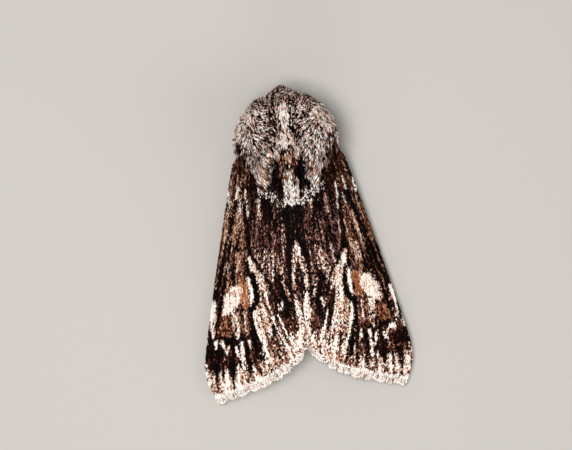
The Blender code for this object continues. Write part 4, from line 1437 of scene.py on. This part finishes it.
@dataclass(frozen=True)
class TrunkCoat:
    """Long hair scales of the thorax: crest, shoulder lobes, rear tuft, flanks and breast."""

    form: ShoulderForm = ShoulderForm()
    locks_each: int = 12500
    length: tuple[float, float] = (0.5, 0.85)
    width: tuple[float, float] = (0.105, 0.15)
    ragged: float = 1.7              # length over which the coat thins out at its rear end
    stray_share: float = 0.05        # locks that stand out beyond the rest
    seed: int = 100

    def density(self, points: Array, across: Array) -> Array:
        """Full on top, thinner below, and none where the wings come out."""
        upper = np.abs(across - 0.5) < 0.25
        offset, station = np.abs(points[:, 0]), points[:, 1]
        left = self.form.coat_end(offset) + 0.25 - station
        ragged = np.where(offset < 0.8, 0.5, 1.0) * self.ragged
        thinned = ease(left / ragged, 0.0, 1.0) ** 1.5
        gap = self.form.gap(offset)
        thinned = thinned * (1 - 0.85 * gap * ease(station, 7.4, 8.2))
        tuft = (1 - ease(offset, 0.6, 1.0)) * ease(station, 8.0, 8.8)
        thinned = thinned * (1 - 0.55 * tuft)
        lobe = ease(station, 7.2, 8.2) * ease(offset, 1.3, 1.8)
        thinned = thinned * (1 - 0.3 * lobe)
        bare = (station > 9.8) | (station > 7.4) & (np.abs(across - 0.5) < 0.33)
        return np.where(upper, thinned, np.where(bare, 0.0, 0.4))

    def lie(self, along: Array, across: Array, rng: np.random.Generator) -> Array:
        """Direction of the hair: back, and in towards the crest on the shoulder lobes."""
        points, _, run, turn = self.form.frame(along, across)
        inward = turn * np.where(across < 0.5, 1.0, -1.0)[:, None]
        offset, station = np.abs(points[:, 0]), points[:, 1]
        fore = np.exp(-((offset - 1.6) / 1.4) ** 2) * (1 - ease(station, 3.8, 7.5))
        rear = np.exp(-((offset - 2.2) / 1.2) ** 2) * ease(station, 4.0, 7.0)
        rear = rear * (1 - ease(station, 8.0, 10.0))
        aside = ease(offset, 0.35, 0.9)
        sweep = np.radians((64 * fore + 16 * rear) * aside - 10 * ease(offset, 3.8, 4.8))
        sweep = np.where(np.abs(across - 0.5) < 0.25, sweep, -0.25)
        sweep = sweep + rng.normal(0.0, 0.16, len(points))
        return unit(run * np.cos(sweep)[:, None] + inward * np.sin(sweep)[:, None])

    def growth(self, seed: int, span: Span) -> Growth:
        """Grow the locks of one part of the trunk.

        Args:
            seed: picks the locks.
            span: shares along and across that the part covers.

        Returns:
            The growth.
        """
        rng = np.random.default_rng(seed)
        along, across = sow(self.form, self.locks_each, seed, self.density, span)
        places = self.form.points(along, across)
        station, count = places[:, 1], len(along)
        collar = 1 - ease(station, 1.6, 3.2)
        tuft = ease(station, 8.2, 9.4)
        lobe = ease(station, 7.0, 8.4) * ease(np.abs(places[:, 0]), 1.1, 1.6)
        length = rng.uniform(*self.length, count) * (1 - 0.25 * collar) * (1 - 0.2 * tuft + 0.7 * lobe)
        width = rng.uniform(*self.width, count) * (1 - 0.2 * collar + 0.55 * tuft)
        rise = 0.42 + 0.22 * collar + rng.normal(0, 0.07, count)
        rise = np.clip(rise - 0.22 * ease(station, 7.0, 9.0), 0.05, 0.9)
        grown = hair_growth(self.form, along, across, self.lie(along, across, rng), length,
                            width, rise, FUR_PATTERN, seed, 0.6)
        stray = rng.random(count) < self.stray_share
        light = grown.colours[:, 1] > 0.2
        sunk = np.where(light, 0.04, 0.08) * rng.random(count)
        sunk = np.where(stray, -rng.uniform(0.05, 0.22, count), sunk)
        return Growth(grown.roots - grown.normals * sunk[:, None], grown.chords, grown.normals,
                      grown.sizes, grown.colours, grown.spots)

    def build(self, shop: Workshop) -> None:
        """Make the trunk's coat in three parts, each with its own unwrap."""
        parts = {"thorax_fur_left": (0.0, 1.0, 0.0, 0.42), "thorax_fur_right": (0.0, 1.0, 0.58, 1.0),
                 "thorax_fur_crest": (0.0, 1.0, 0.42, 0.58)}
        for number, (name, span) in enumerate(parts.items()):
            shop.coat(name, self.growth(self.seed + number, span), shop.lock, shop.fur, "thorax_fur")


@dataclass(frozen=True)
class HeadCoat:
    """Short hair of the head, running forward into the pointed frontal tuft."""

    form: HeadForm = HeadForm()
    locks: int = 7000
    length: tuple[float, float] = (0.5, 0.85)
    width: tuple[float, float] = (0.07, 0.10)
    eye_clear: float = 1.0           # radius that the coat leaves free about each eye
    seed: int = 41

    def density(self, points: Array, across: Array) -> Array:
        """Full everywhere but over the eyes and under the collar."""
        mirrored = beside(np.abs(points[:, 0]), points[:, 1:])
        gap = np.linalg.norm(mirrored - EYE_CENTRE, axis=1)
        kept = (gap > self.eye_clear) & (points[:, 1] < 3.9)
        return np.where(kept, 1.0, 0.0)

    def build(self, shop: Workshop) -> None:
        """Make the head's coat."""
        rng = np.random.default_rng(self.seed)
        along, across = sow(self.form, self.locks, self.seed + 1, self.density)
        points, _, run, turn = self.form.frame(along, across)
        forward = 1 - ease(points[:, 1], 1.3, 2.4)
        back = (1 - 2 * forward)[:, None] * run
        wander = turn * rng.normal(0, 0.35, len(along))[:, None]
        lie = unit(back + wander + [0.0, 0.0, 0.1])
        length = rng.uniform(*self.length, len(along)) * (0.8 + 0.3 * forward)
        width = rng.uniform(*self.width, len(along))
        point = 1 - ease(points[:, 1], 0.15, 0.9)
        rise = np.clip(0.35 + 0.45 * (1 - np.abs(2 * forward - 1)) + 0.6 * point, 0.1, 0.97)
        growth = hair_growth(self.form, along, across, lie, length, width, rise,
                             FUR_PATTERN, self.seed + 2, 0.6)
        shop.coat("head_fur_coat", growth, shop.lock, shop.fur, "head_fur")


@dataclass(frozen=True)
class AbdomenCoat:
    """Short dense hair of the abdomen, longer in the tail tuft."""

    form: AbdomenForm = AbdomenForm()
    hairs: int = 11000
    length: tuple[float, float] = (0.6, 1.0)
    width: tuple[float, float] = (0.08, 0.14)
    seed: int = 61

    def build(self, shop: Workshop) -> None:
        """Make the abdomen's coat."""
        rng = np.random.default_rng(self.seed)
        along, across = sow(self.form, self.hairs, self.seed + 1)
        _, _, run, turn = self.form.frame(along, across)
        lie = unit(run + turn * rng.normal(0, 0.22, len(along))[:, None])
        tail = ease(along, 0.8, 1.0)
        length = rng.uniform(*self.length, len(along)) * (1 + 0.6 * tail)
        width = rng.uniform(*self.width, len(along))
        rise = rng.uniform(0.22, 0.36, len(along))
        growth = hair_growth(self.form, along, across, lie, length, width, rise,
                             BELLY_PATTERN, self.seed + 2, 0.7)
        shop.coat("abdomen_fur_coat", growth, shop.hair, shop.fur, "abdomen_fur")


def lay_scales(form: Form, count: int, seed: int, pattern: Pattern,
               size: tuple[float, float], lift: float, span: Span) -> Growth:
    """Lay overlapping scales on one face of a wing.

    Args:
        form: the surface.
        count: how many scales.
        seed: picks them.
        pattern: their markings.
        size: width and length of a scale.
        lift: sine of the slope at which a scale stands off the surface.
        span: shares along and across that the scales cover.

    Returns:
        The growth.
    """
    rng = np.random.default_rng(seed)
    along, across = sow(form, count, seed, None, span)
    points, normals, run, turn = form.frame(along, across)
    wander = turn * rng.normal(0, 0.16, count)[:, None]
    slope = lift + rng.uniform(-0.03, 0.06, count)
    chords = unit(unit(run + wander) + normals * slope[:, None])
    length = size[1] * rng.uniform(0.8, 1.25, count)
    width = size[0] * rng.uniform(0.8, 1.2, count)
    sizes = beside(width, length, width)
    shown = points + SCALE_SHOWS_AT * chords * length[:, None]
    spots = beside(across, along)
    return Growth(points, chords, normals, sizes, pattern.pick(shown, seed + 5), spots)


@dataclass(frozen=True)
class Forewing:
    """One forewing: a thin membrane, scales on both faces and a fringe on the outer margin."""

    label: str
    side: int
    scales: int = 42000
    scale_size: tuple[float, float] = (0.09, 0.22)
    under_scales: int = 10000
    under_size: tuple[float, float] = (0.26, 0.6)
    fringe_scales: int = 3200
    membrane_depth: float = 0.07
    membrane_wall: float = 0.08
    fringe_from: float = 0.965       # share of the wing's length at which the membrane ends
    fringe_lengths: tuple[float, float, float] = (1.0, 0.72, 0.50)     # of its three layers
    fringe_width: tuple[float, float] = (0.07, 0.12)
    scallops: int = 8
    rows: int = 150
    columns: int = 60
    seeds: tuple[int, int, int] = (200, 260, 320)   # outer face, inner face and fringe

    def build(self, shop: Workshop) -> None:
        """Make the wing's pieces."""
        self.build_membrane(shop)
        slot = "forewing_scales"
        outer, inner = (sided(seed, self.side) for seed in self.seeds[:2])
        growth = lay_scales(WingForm(self.side, 0.05), self.scales, outer, FOREWING_PATTERN,
                            self.scale_size, 0.12, (0.0, self.fringe_from + 0.012, 0.0, 1.0))
        shop.coat(f"forewing_coat_{self.label}", growth, shop.scale, shop.powder, slot)
        form = WingForm(self.side, self.membrane_depth + self.membrane_wall, True)
        growth = lay_scales(form, self.under_scales, inner, UNDERSIDE_PATTERN, self.under_size,
                            0.08, (0.0, self.fringe_from, 0.025, 0.975))
        shop.coat(f"forewing_lining_{self.label}", growth, shop.scale, shop.powder, slot)
        shop.coat(f"forewing_fringe_{self.label}", self.fringe(), shop.hair, shop.powder, slot)

    def build_membrane(self, shop: Workshop) -> None:
        """Make the membrane as a closed thin shell with the coat's markings."""
        row, column = layer_grid(self.rows, self.columns, self.fringe_from, 0.995)
        shape = (self.rows, self.columns, 3)
        upper = WingForm(self.side, self.membrane_depth).points(row, column)
        lower = WingForm(self.side, self.membrane_depth + self.membrane_wall).points(row, column)
        mesh = thin_shell(upper.reshape(shape), lower.reshape(shape))
        tint(mesh, FOREWING_PATTERN.mean)
        add_piece(f"forewing_membrane_{self.label}", mesh, shop.film,
                  (f"forewing_{self.label}",))

    def fringe(self) -> Growth:
        """Grow the fringe: white scales in soft scallops, flecked with brown at the veins."""
        rng = np.random.default_rng(sided(self.seeds[2], self.side))
        count = self.fringe_scales
        across = (np.arange(count) + rng.random(count)) / count
        form = WingForm(self.side, 0.06)
        layer = rng.integers(0, 3, count)
        start = self.fringe_from - 0.004 * layer - 0.004
        points, normals, run, turn = form.frame(start, across)
        edge = form.points(np.full(count, 1.0), across)
        swing = across * self.scallops + 0.2 + 0.12 * np.sin(across * 23)
        scallop = 0.80 + 0.26 * np.abs(np.cos(math.pi * swing))
        fuller = 0.22 * np.exp(-((across - 0.42) / 0.2) ** 2)
        reach = (np.linalg.norm(edge - points, axis=1) + fuller) * scallop
        length = reach * np.array(self.fringe_lengths)[layer] * rng.uniform(0.70, 1.06, count)
        wander = turn * rng.normal(0, 0.13, count)[:, None]
        chords = unit(run + wander + normals * (0.02 + 0.03 * layer)[:, None])
        white = np.array([linear(Tone.WHITE.value)]) * rng.uniform(0.88, 1.1, (count, 1))
        brown = np.array([linear(Tone.TAN.value)]) * rng.uniform(0.15, 0.9, (count, 1))
        dark = (layer == 1) & (rng.random(count) < 0.22)
        fleck = rng.random(count) < 0.08 + 0.35 * (np.abs(np.cos(math.pi * swing)) < 0.2)
        colours = np.clip(np.where((dark | fleck)[:, None], brown, white), 0, 1)
        width = rng.uniform(*self.fringe_width, count)
        sizes = beside(width, length, 0.2 * length)
        spots = beside(across, 0.5 + 0.2 * layer)
        return Growth(points, chords, normals, sizes, colours, spots)


@dataclass(frozen=True)
class Hindwing:
    """One pale hindwing, folded under the forewing."""

    label: str
    side: int
    scales: int = 6500
    scale_size: tuple[float, float] = (0.25, 0.6)
    depth: float = 1.05              # below the forewing's outer surface
    wall: float = 0.08
    rows: int = 60
    columns: int = 26

    def build(self, shop: Workshop) -> None:
        """Make the hindwing's membrane and its scales on both faces."""
        row, column = layer_grid(self.rows, self.columns)
        upper = HindwingForm(self.side, self.depth).points(row, column).reshape(self.rows, self.columns, 3)
        mesh = thin_shell(upper, upper - (0.0, 0.0, self.wall))
        tint(mesh, HINDWING_PATTERN.mean)
        add_piece(f"hindwing_membrane_{self.label}", mesh, shop.film,
                  (f"hindwing_{self.label}",))
        for face, under, seed in (("upper", False, 400), ("lower", True, 440)):
            form = HindwingForm(self.side, self.depth + (self.wall if under else 0.0), under)
            growth = lay_scales(form, self.scales, sided(seed, self.side, 17), HINDWING_PATTERN,
                                self.scale_size, 0.07, (0.0, 1.0, 0.0, 1.0))
            shop.coat(f"hindwing_{face}_{self.label}", growth, shop.scale, shop.powder, "hindwing_scales")


@dataclass(frozen=True)
class Eyes:
    """Two large faceted eyes, half sunk in the head."""

    radius: float = 0.88

    def build(self, finish: Material) -> None:
        """Make both eyes."""
        for label, side in SIDES:
            body = bmesh.new()
            bmesh.ops.create_icosphere(body, subdivisions=5, radius=self.radius * MM)
            spot = place(np.array([EYE_CENTRE]) * (side, 1, 1))[0]
            bmesh.ops.translate(body, verts=body.verts, vec=Vector(spot))
            mesh = bpy.data.meshes.new("eye")
            body.to_mesh(mesh)
            body.free()
            add_piece(f"eye_facets_{label}", mesh, finish, (f"eye_{label}",))


class LegPlan(Enum):
    """Hip, knee, ankle and toe of each leg as (offset, station, height, radius)."""

    FORELEG = ((1.0, 4.7, 1.25, 0.38), (3.0, 4.75, 1.5, 0.40),
               (3.1, 3.1, 0.75, 0.36), (2.4, 1.5, 0.16, 0.26))
    MIDLEG = ((1.4, 6.4, 1.25, 0.38), (3.05, 7.1, 1.4, 0.42),
              (4.1, 9.5, 0.8, 0.36), (4.7, 12.9, 0.16, 0.26))
    HINDLEG = ((1.5, 8.0, 1.25, 0.38), (3.0, 9.9, 1.35, 0.42), (3.7, 12.0, 1.3, 0.44),
               (4.3, 15.6, 0.8, 0.36), (5.1, 20.0, 0.16, 0.26))


@dataclass(frozen=True)
class Leg:
    """One leg: furry thigh and shank, banded foot of five joints, spurs and claws."""

    plan: LegPlan
    label: str
    side: int
    rings: int = 90
    hairs: int = 1500
    foot_joints: int = 5
    spur_colour: str = "#4a2f22"
    foot_from: float = 0.66          # share of the length at which the foot starts
    horn_share: float = 0.48         # the leg's own radius over the radius with its coat

    def route(self) -> Array:
        """Middle line and radius of the bare leg."""
        rows = smooth_route(self.plan.value, self.rings)
        rows[:, 0] *= self.side
        share = np.linspace(0, 1, len(rows))
        rows[:, 3] *= self.horn_share
        joints = np.abs(np.sin(self.foot_share(share) * math.pi * self.foot_joints))
        foot = ease(share, self.foot_from - 0.02, self.foot_from + 0.02)
        rows[:, 3] *= 1 - foot * 0.28 * (1 - joints ** 0.6)
        rows[:, 2] = np.maximum(rows[:, 2], rows[:, 3] + FLOOR_GAP)
        return rows

    def build(self, shop: Workshop) -> None:
        """Make the leg's horn and its coat."""
        name = f"{self.plan.name.lower()}_{self.label}"
        form = TubeForm(self.route())
        add_piece(name + "_horn", form.bare_mesh(16), shop.horn, (name,))
        growth = self.coat(form).joined(self.spurs(form))
        shop.coat(name + "_coat", growth, shop.hair, shop.fur, "leg_scales")

    def foot_share(self, share: Array) -> Array:
        """Share from 0 to 1 along the foot for each share along the leg."""
        return np.clip((share - self.foot_from) / (1 - self.foot_from), 0, 1)

    def coat(self, form: TubeForm) -> Growth:
        """Long hair on thigh and shank, short flat hair in bands on the foot."""
        seed = sided(sum(ord(letter) for letter in self.plan.name), self.side, 3)
        rng = np.random.default_rng(seed)
        along, across = sow(form, self.hairs, seed)
        points, normals, run, _ = form.frame(along, across)
        foot = ease(along, self.foot_from - 0.04, self.foot_from + 0.02)
        shag = 1 - foot
        lift = 0.24 + 0.10 * shag + rng.uniform(-0.05, 0.1, self.hairs)
        chords = unit(run + normals * lift[:, None] + rng.normal(0, 0.08, points.shape))
        length = (0.24 + 0.42 * shag) * rng.uniform(0.8, 1.25, self.hairs)
        width = (0.06 + 0.02 * shag) * rng.uniform(0.8, 1.2, self.hairs)
        weights = np.cumsum(as_weights(LIMB_GROUND))
        chosen = np.searchsorted(weights, rng.random(self.hairs)).clip(0, len(Tone) - 1)
        band = np.sin(self.foot_share(along) * math.pi * 2 * self.foot_joints) > 0.1
        pale, dark = list(Tone).index(Tone.CREAM), list(Tone).index(Tone.UMBER)
        chosen = np.where(foot > 0.5, np.where(band, dark, pale), chosen)
        tips = points + chords * length[:, None]
        low = tips[:, 2] < FLOOR_GAP
        chords[low, 2] = np.maximum(chords[low, 2], (FLOOR_GAP - points[low, 2]) / length[low])
        sizes = beside(width, length, 0.5 * length)
        return Growth(points, unit(chords), normals, sizes, TONE_COLOURS[chosen],
                      beside(across, along))

    def spurs(self, form: TubeForm) -> Growth:
        """Two spurs at the end of the shank and two claws at the toe."""
        along = np.array([self.foot_from, self.foot_from, 0.985, 0.985])
        across = np.array([0.05, 0.45, 0.02, 0.48])
        points, normals, run, _ = form.frame(along, across)
        chords = unit(run + 0.45 * normals - np.array([0.0, 0.0, 0.05]))
        length = np.array([0.75, 0.6, 0.24, 0.24])
        chords[:, 2] = np.maximum(chords[:, 2], (FLOOR_GAP - points[:, 2]) / length)
        sizes = beside(np.array([0.13, 0.12, 0.08, 0.08]), length, 0.6 * length)
        colours = np.tile(linear(self.spur_colour), (4, 1))
        return Growth(points, unit(chords), normals, sizes, colours,
                      beside(across, along))


@dataclass(frozen=True)
class Antenna:
    """One feeler, folded back under the wing: ringed stem, scales above, short side branches."""

    label: str
    side: int
    rings: int = 64
    steps: int = 8                   # rows of the mesh to a ring of the stem
    radius: float = 0.12
    scales: int = 2200
    branch_colour: str = "#4b3327"
    seed: int = 700
    stops: tuple[tuple[float, float, float], ...] = (
        (2.4, 1.5, 5.05), (2.9, 1.85, 4.4), (3.15, 2.5, 3.5), (3.4, 3.7, 2.55),
        (3.75, 5.4, 2.1), (4.0, 7.2, 2.0), (4.5, 9.0, 1.75), (4.88, 10.8, 1.5),
        (5.4, 12.8, 1.3), (5.8, 15.0, 1.1))

    def route(self) -> Array:
        """Middle line and radius, thick at the first joint and fine at the tip."""
        count = self.rings * self.steps
        rows = smooth_route(self.stops, count)
        rows[:, 0] *= self.side
        share = np.linspace(0, 1, count)
        taper = self.radius * (1.0 - 0.55 * share) + 0.10 * np.exp(-(share / 0.018) ** 2)
        beads = 1 - 0.16 * np.abs(np.cos(share * self.rings * math.pi)) ** 6
        return beside(rows, taper * beads)

    def build(self, shop: Workshop) -> None:
        """Make the stem and its coat of branches and scales."""
        form = TubeForm(self.route())
        add_piece(f"antenna_stem_{self.label}", form.bare_mesh(12), shop.horn,
                  (f"antenna_{self.label}",))
        growth = self.branches(form).joined(self.stem_scales(form))
        shop.coat(f"antenna_coat_{self.label}", growth, shop.hair, shop.fur, "feeler")

    def branches(self, form: TubeForm) -> Growth:
        """A pair of fine branches on every ring, shorter towards the tip."""
        ring = np.arange(3, self.rings) / self.rings
        along = np.repeat(ring, 2)
        across = np.tile([0.0, 0.5], len(ring))
        points, normals, run, _ = form.frame(along, across)
        length = 0.20 * np.sin(math.pi * np.clip(along * 0.9 + 0.12, 0, 1)) ** 0.6
        chords = unit(normals + 0.6 * run)
        sizes = beside(np.full(len(along), 0.045), length, 0.3 * length)
        colours = np.tile(linear(self.branch_colour), (len(along), 1))
        return Growth(points, chords, normals, sizes, colours, beside(across, along))

    def stem_scales(self, form: TubeForm) -> Growth:
        """Small pale scales over the upper half."""
        seed = sided(self.seed, self.side)
        rng = np.random.default_rng(seed)
        along, across = sow(form, self.scales, seed, None, (0.0, 1.0, -0.08, 0.58))
        points, normals, run, _ = form.frame(along, across)
        chords = unit(run + 0.18 * normals)
        length = rng.uniform(0.10, 0.18, len(along))
        sizes = beside(rng.uniform(0.05, 0.08, len(along)), length, 0.4 * length)
        pale = rng.random(len(along)) < 0.5
        colours = np.where(pale[:, None], linear(Tone.ASH.value), linear(Tone.UMBER.value))
        return Growth(points, chords, normals, sizes, colours, beside(across, along))


@dataclass(frozen=True)
class Palp:
    """One short mouth feeler below the face, shaggy and blunt."""

    label: str
    side: int
    rings: int = 24
    hairs: int = 900
    seed: int = 800
    stops: tuple[tuple[float, float, float, float], ...] = (
        (0.42, 2.7, 3.0, 0.24), (0.5, 2.0, 2.2, 0.24), (0.5, 1.4, 2.25, 0.22),
        (0.48, 0.9, 2.7, 0.13))

    def build(self, shop: Workshop) -> None:
        """Make the palp's horn and coat."""
        route = smooth_route(self.stops, self.rings)
        route[:, 0] *= self.side
        form = TubeForm(route)
        add_piece(f"palp_horn_{self.label}", form.bare_mesh(14), shop.horn,
                  (f"palp_{self.label}",))
        seed = sided(self.seed, self.side)
        rng = np.random.default_rng(seed)
        along, across = sow(form, self.hairs, seed)
        points, normals, run, _ = form.frame(along, across)
        chords = unit(run + 0.35 * normals + rng.normal(0, 0.1, points.shape))
        length = rng.uniform(0.25, 0.42, len(along)) * (1 - 0.45 * along)
        sizes = beside(rng.uniform(0.05, 0.08, len(along)), length, 0.4 * length)
        growth = Growth(points, chords, normals, sizes, BELLY_PATTERN.pick(points, seed),
                        beside(across, along))
        shop.coat(f"palp_coat_{self.label}", growth, shop.hair, shop.fur, "feeler")


@dataclass(frozen=True)
class Studio:
    """Pale floor, soft lights and a long lens above, a little towards the head."""

    aim: tuple[float, float, float] = (0.8, -2.0, 6.0)
    lean_deg: float = 0.3            # camera stands over towards the moth's right
    pitch_deg: float = 5.3           # and towards its head
    roll_deg: float = 5.9            # the tail points to the frame's lower right
    view_width: float = 52.6         # across the frame, at the aim
    lens: float = 120.0
    sensor: float = 36.0
    room_colour: str = "#f6f4f2"
    room_strength: float = 0.30
    # name, place, width and power in watts
    lights: tuple[tuple[str, tuple[float, float, float], float, float], ...] = (
        ("key", (35.0, -15.0, 210.0), 80.0, 0.51), ("fill", (-150.0, 60.0, 120.0), 160.0, 0.12),
        ("rim", (40.0, 170.0, 90.0), 120.0, 0.10))

    def build(self) -> None:
        """Make floor, lights, world and camera."""
        self.build_floor()
        self.build_camera()
        for light in self.lights:
            self.add_light(*light)
        world = bpy.data.worlds.new("soft_room")
        world.use_nodes = True
        background = world.node_tree.nodes["Background"]
        wire(background, {"Color": (*linear(self.room_colour), 1.0), "Strength": self.room_strength})
        bpy.context.scene.world = world
        bpy.context.scene.view_settings.view_transform = "Standard"

    def build_floor(self) -> None:
        """Make the floor, a wide thin board with its top at height 0."""
        body = bmesh.new()
        bmesh.ops.create_grid(body, x_segments=8, y_segments=8, size=1.0)
        mesh = bpy.data.meshes.new("floor")
        body.to_mesh(mesh)
        body.free()
        mesh.materials.append(PaintedBoard().build())
        floor = bpy.data.objects.new("floor", mesh)
        link(floor)

    def build_camera(self) -> None:
        """Place the camera on its lean and roll."""
        lean, roll = math.radians(self.lean_deg), math.radians(self.roll_deg)
        pitch = math.radians(self.pitch_deg)
        upright = math.cos(lean)
        back = Vector((-math.sin(lean), -upright * math.sin(pitch), upright * math.cos(pitch)))
        up = Vector((-math.sin(roll), -math.cos(roll), 0.0))
        up = (up - back * up.dot(back)).normalized()
        right = up.cross(back)
        data = bpy.data.cameras.new("camera")
        data.lens, data.sensor_width = self.lens, self.sensor
        data.clip_start = 0.005
        camera = bpy.data.objects.new("camera", data)
        distance = self.view_width * self.lens / self.sensor
        camera.location = (Vector(self.aim) + back * distance) * MM
        camera.rotation_mode = "QUATERNION"
        axes = (right, up, back)
        turn = [[axis[row] for axis in axes] for row in range(3)]
        camera.rotation_quaternion = Matrix(turn).to_quaternion()
        link(camera)
        bpy.context.scene.camera = camera

    def add_light(self, name: str, spot: tuple[float, float, float], size: float,
                  power: float) -> None:
        """Add one square soft light aimed at the moth.

        Args:
            name: its name.
            spot: its place, in millimetres of the model.
            size: its width in millimetres.
            power: its power in watts.
        """
        data = bpy.data.lights.new(name, "AREA")
        data.size, data.energy = size * MM, power
        light = bpy.data.objects.new(name, data)
        light.location = Vector(spot) * MM
        light.rotation_mode = "QUATERNION"
        light.rotation_quaternion = (Vector(spot) * MM).to_track_quat("Z", "Y")
        link(light)


def main() -> None:
    """Build the whole moth, one sub-assembly after another."""
    logging.basicConfig(level=logging.INFO, format="%(message)s")
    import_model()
    Studio().build()
    shop = Workshop(
        tree=coat_tree(),
        scale=flat_scale("wing_scale"),
        hair=Lock("single_hair").build(),
        lock=Lock("fur_lock", 2, 0.6, 0.34, 0.10, 0.03, ((0.6, 1.0),)).build(),
        powder=LamellarScales("powdery_wing_scales", root_share=0.2).build(),
        fur=LamellarScales("lamellar_hair_scales", root_share=0.85, root_until=0.45).build(),
        film=Cuticle("wing_membrane", from_markings=True, roughness=0.5).build(),
        horn=Cuticle("brown_horny_cuticle").build())
    BodySkin().build(Cuticle("soft_body_cuticle", from_markings=True, roughness=0.6).build())
    Eyes().build(CompoundEye().build())
    TrunkCoat().build(shop)
    HeadCoat().build(shop)
    AbdomenCoat().build(shop)
    for label, side in SIDES:
        legs = [Leg(plan, label, side) for plan in LegPlan]
        for limb in (Forewing(label, side), Hindwing(label, side), Antenna(label, side),
                     Palp(label, side), *legs):
            limb.build(shop)
    shop.clear()


if __name__ == "__main__":
    main()
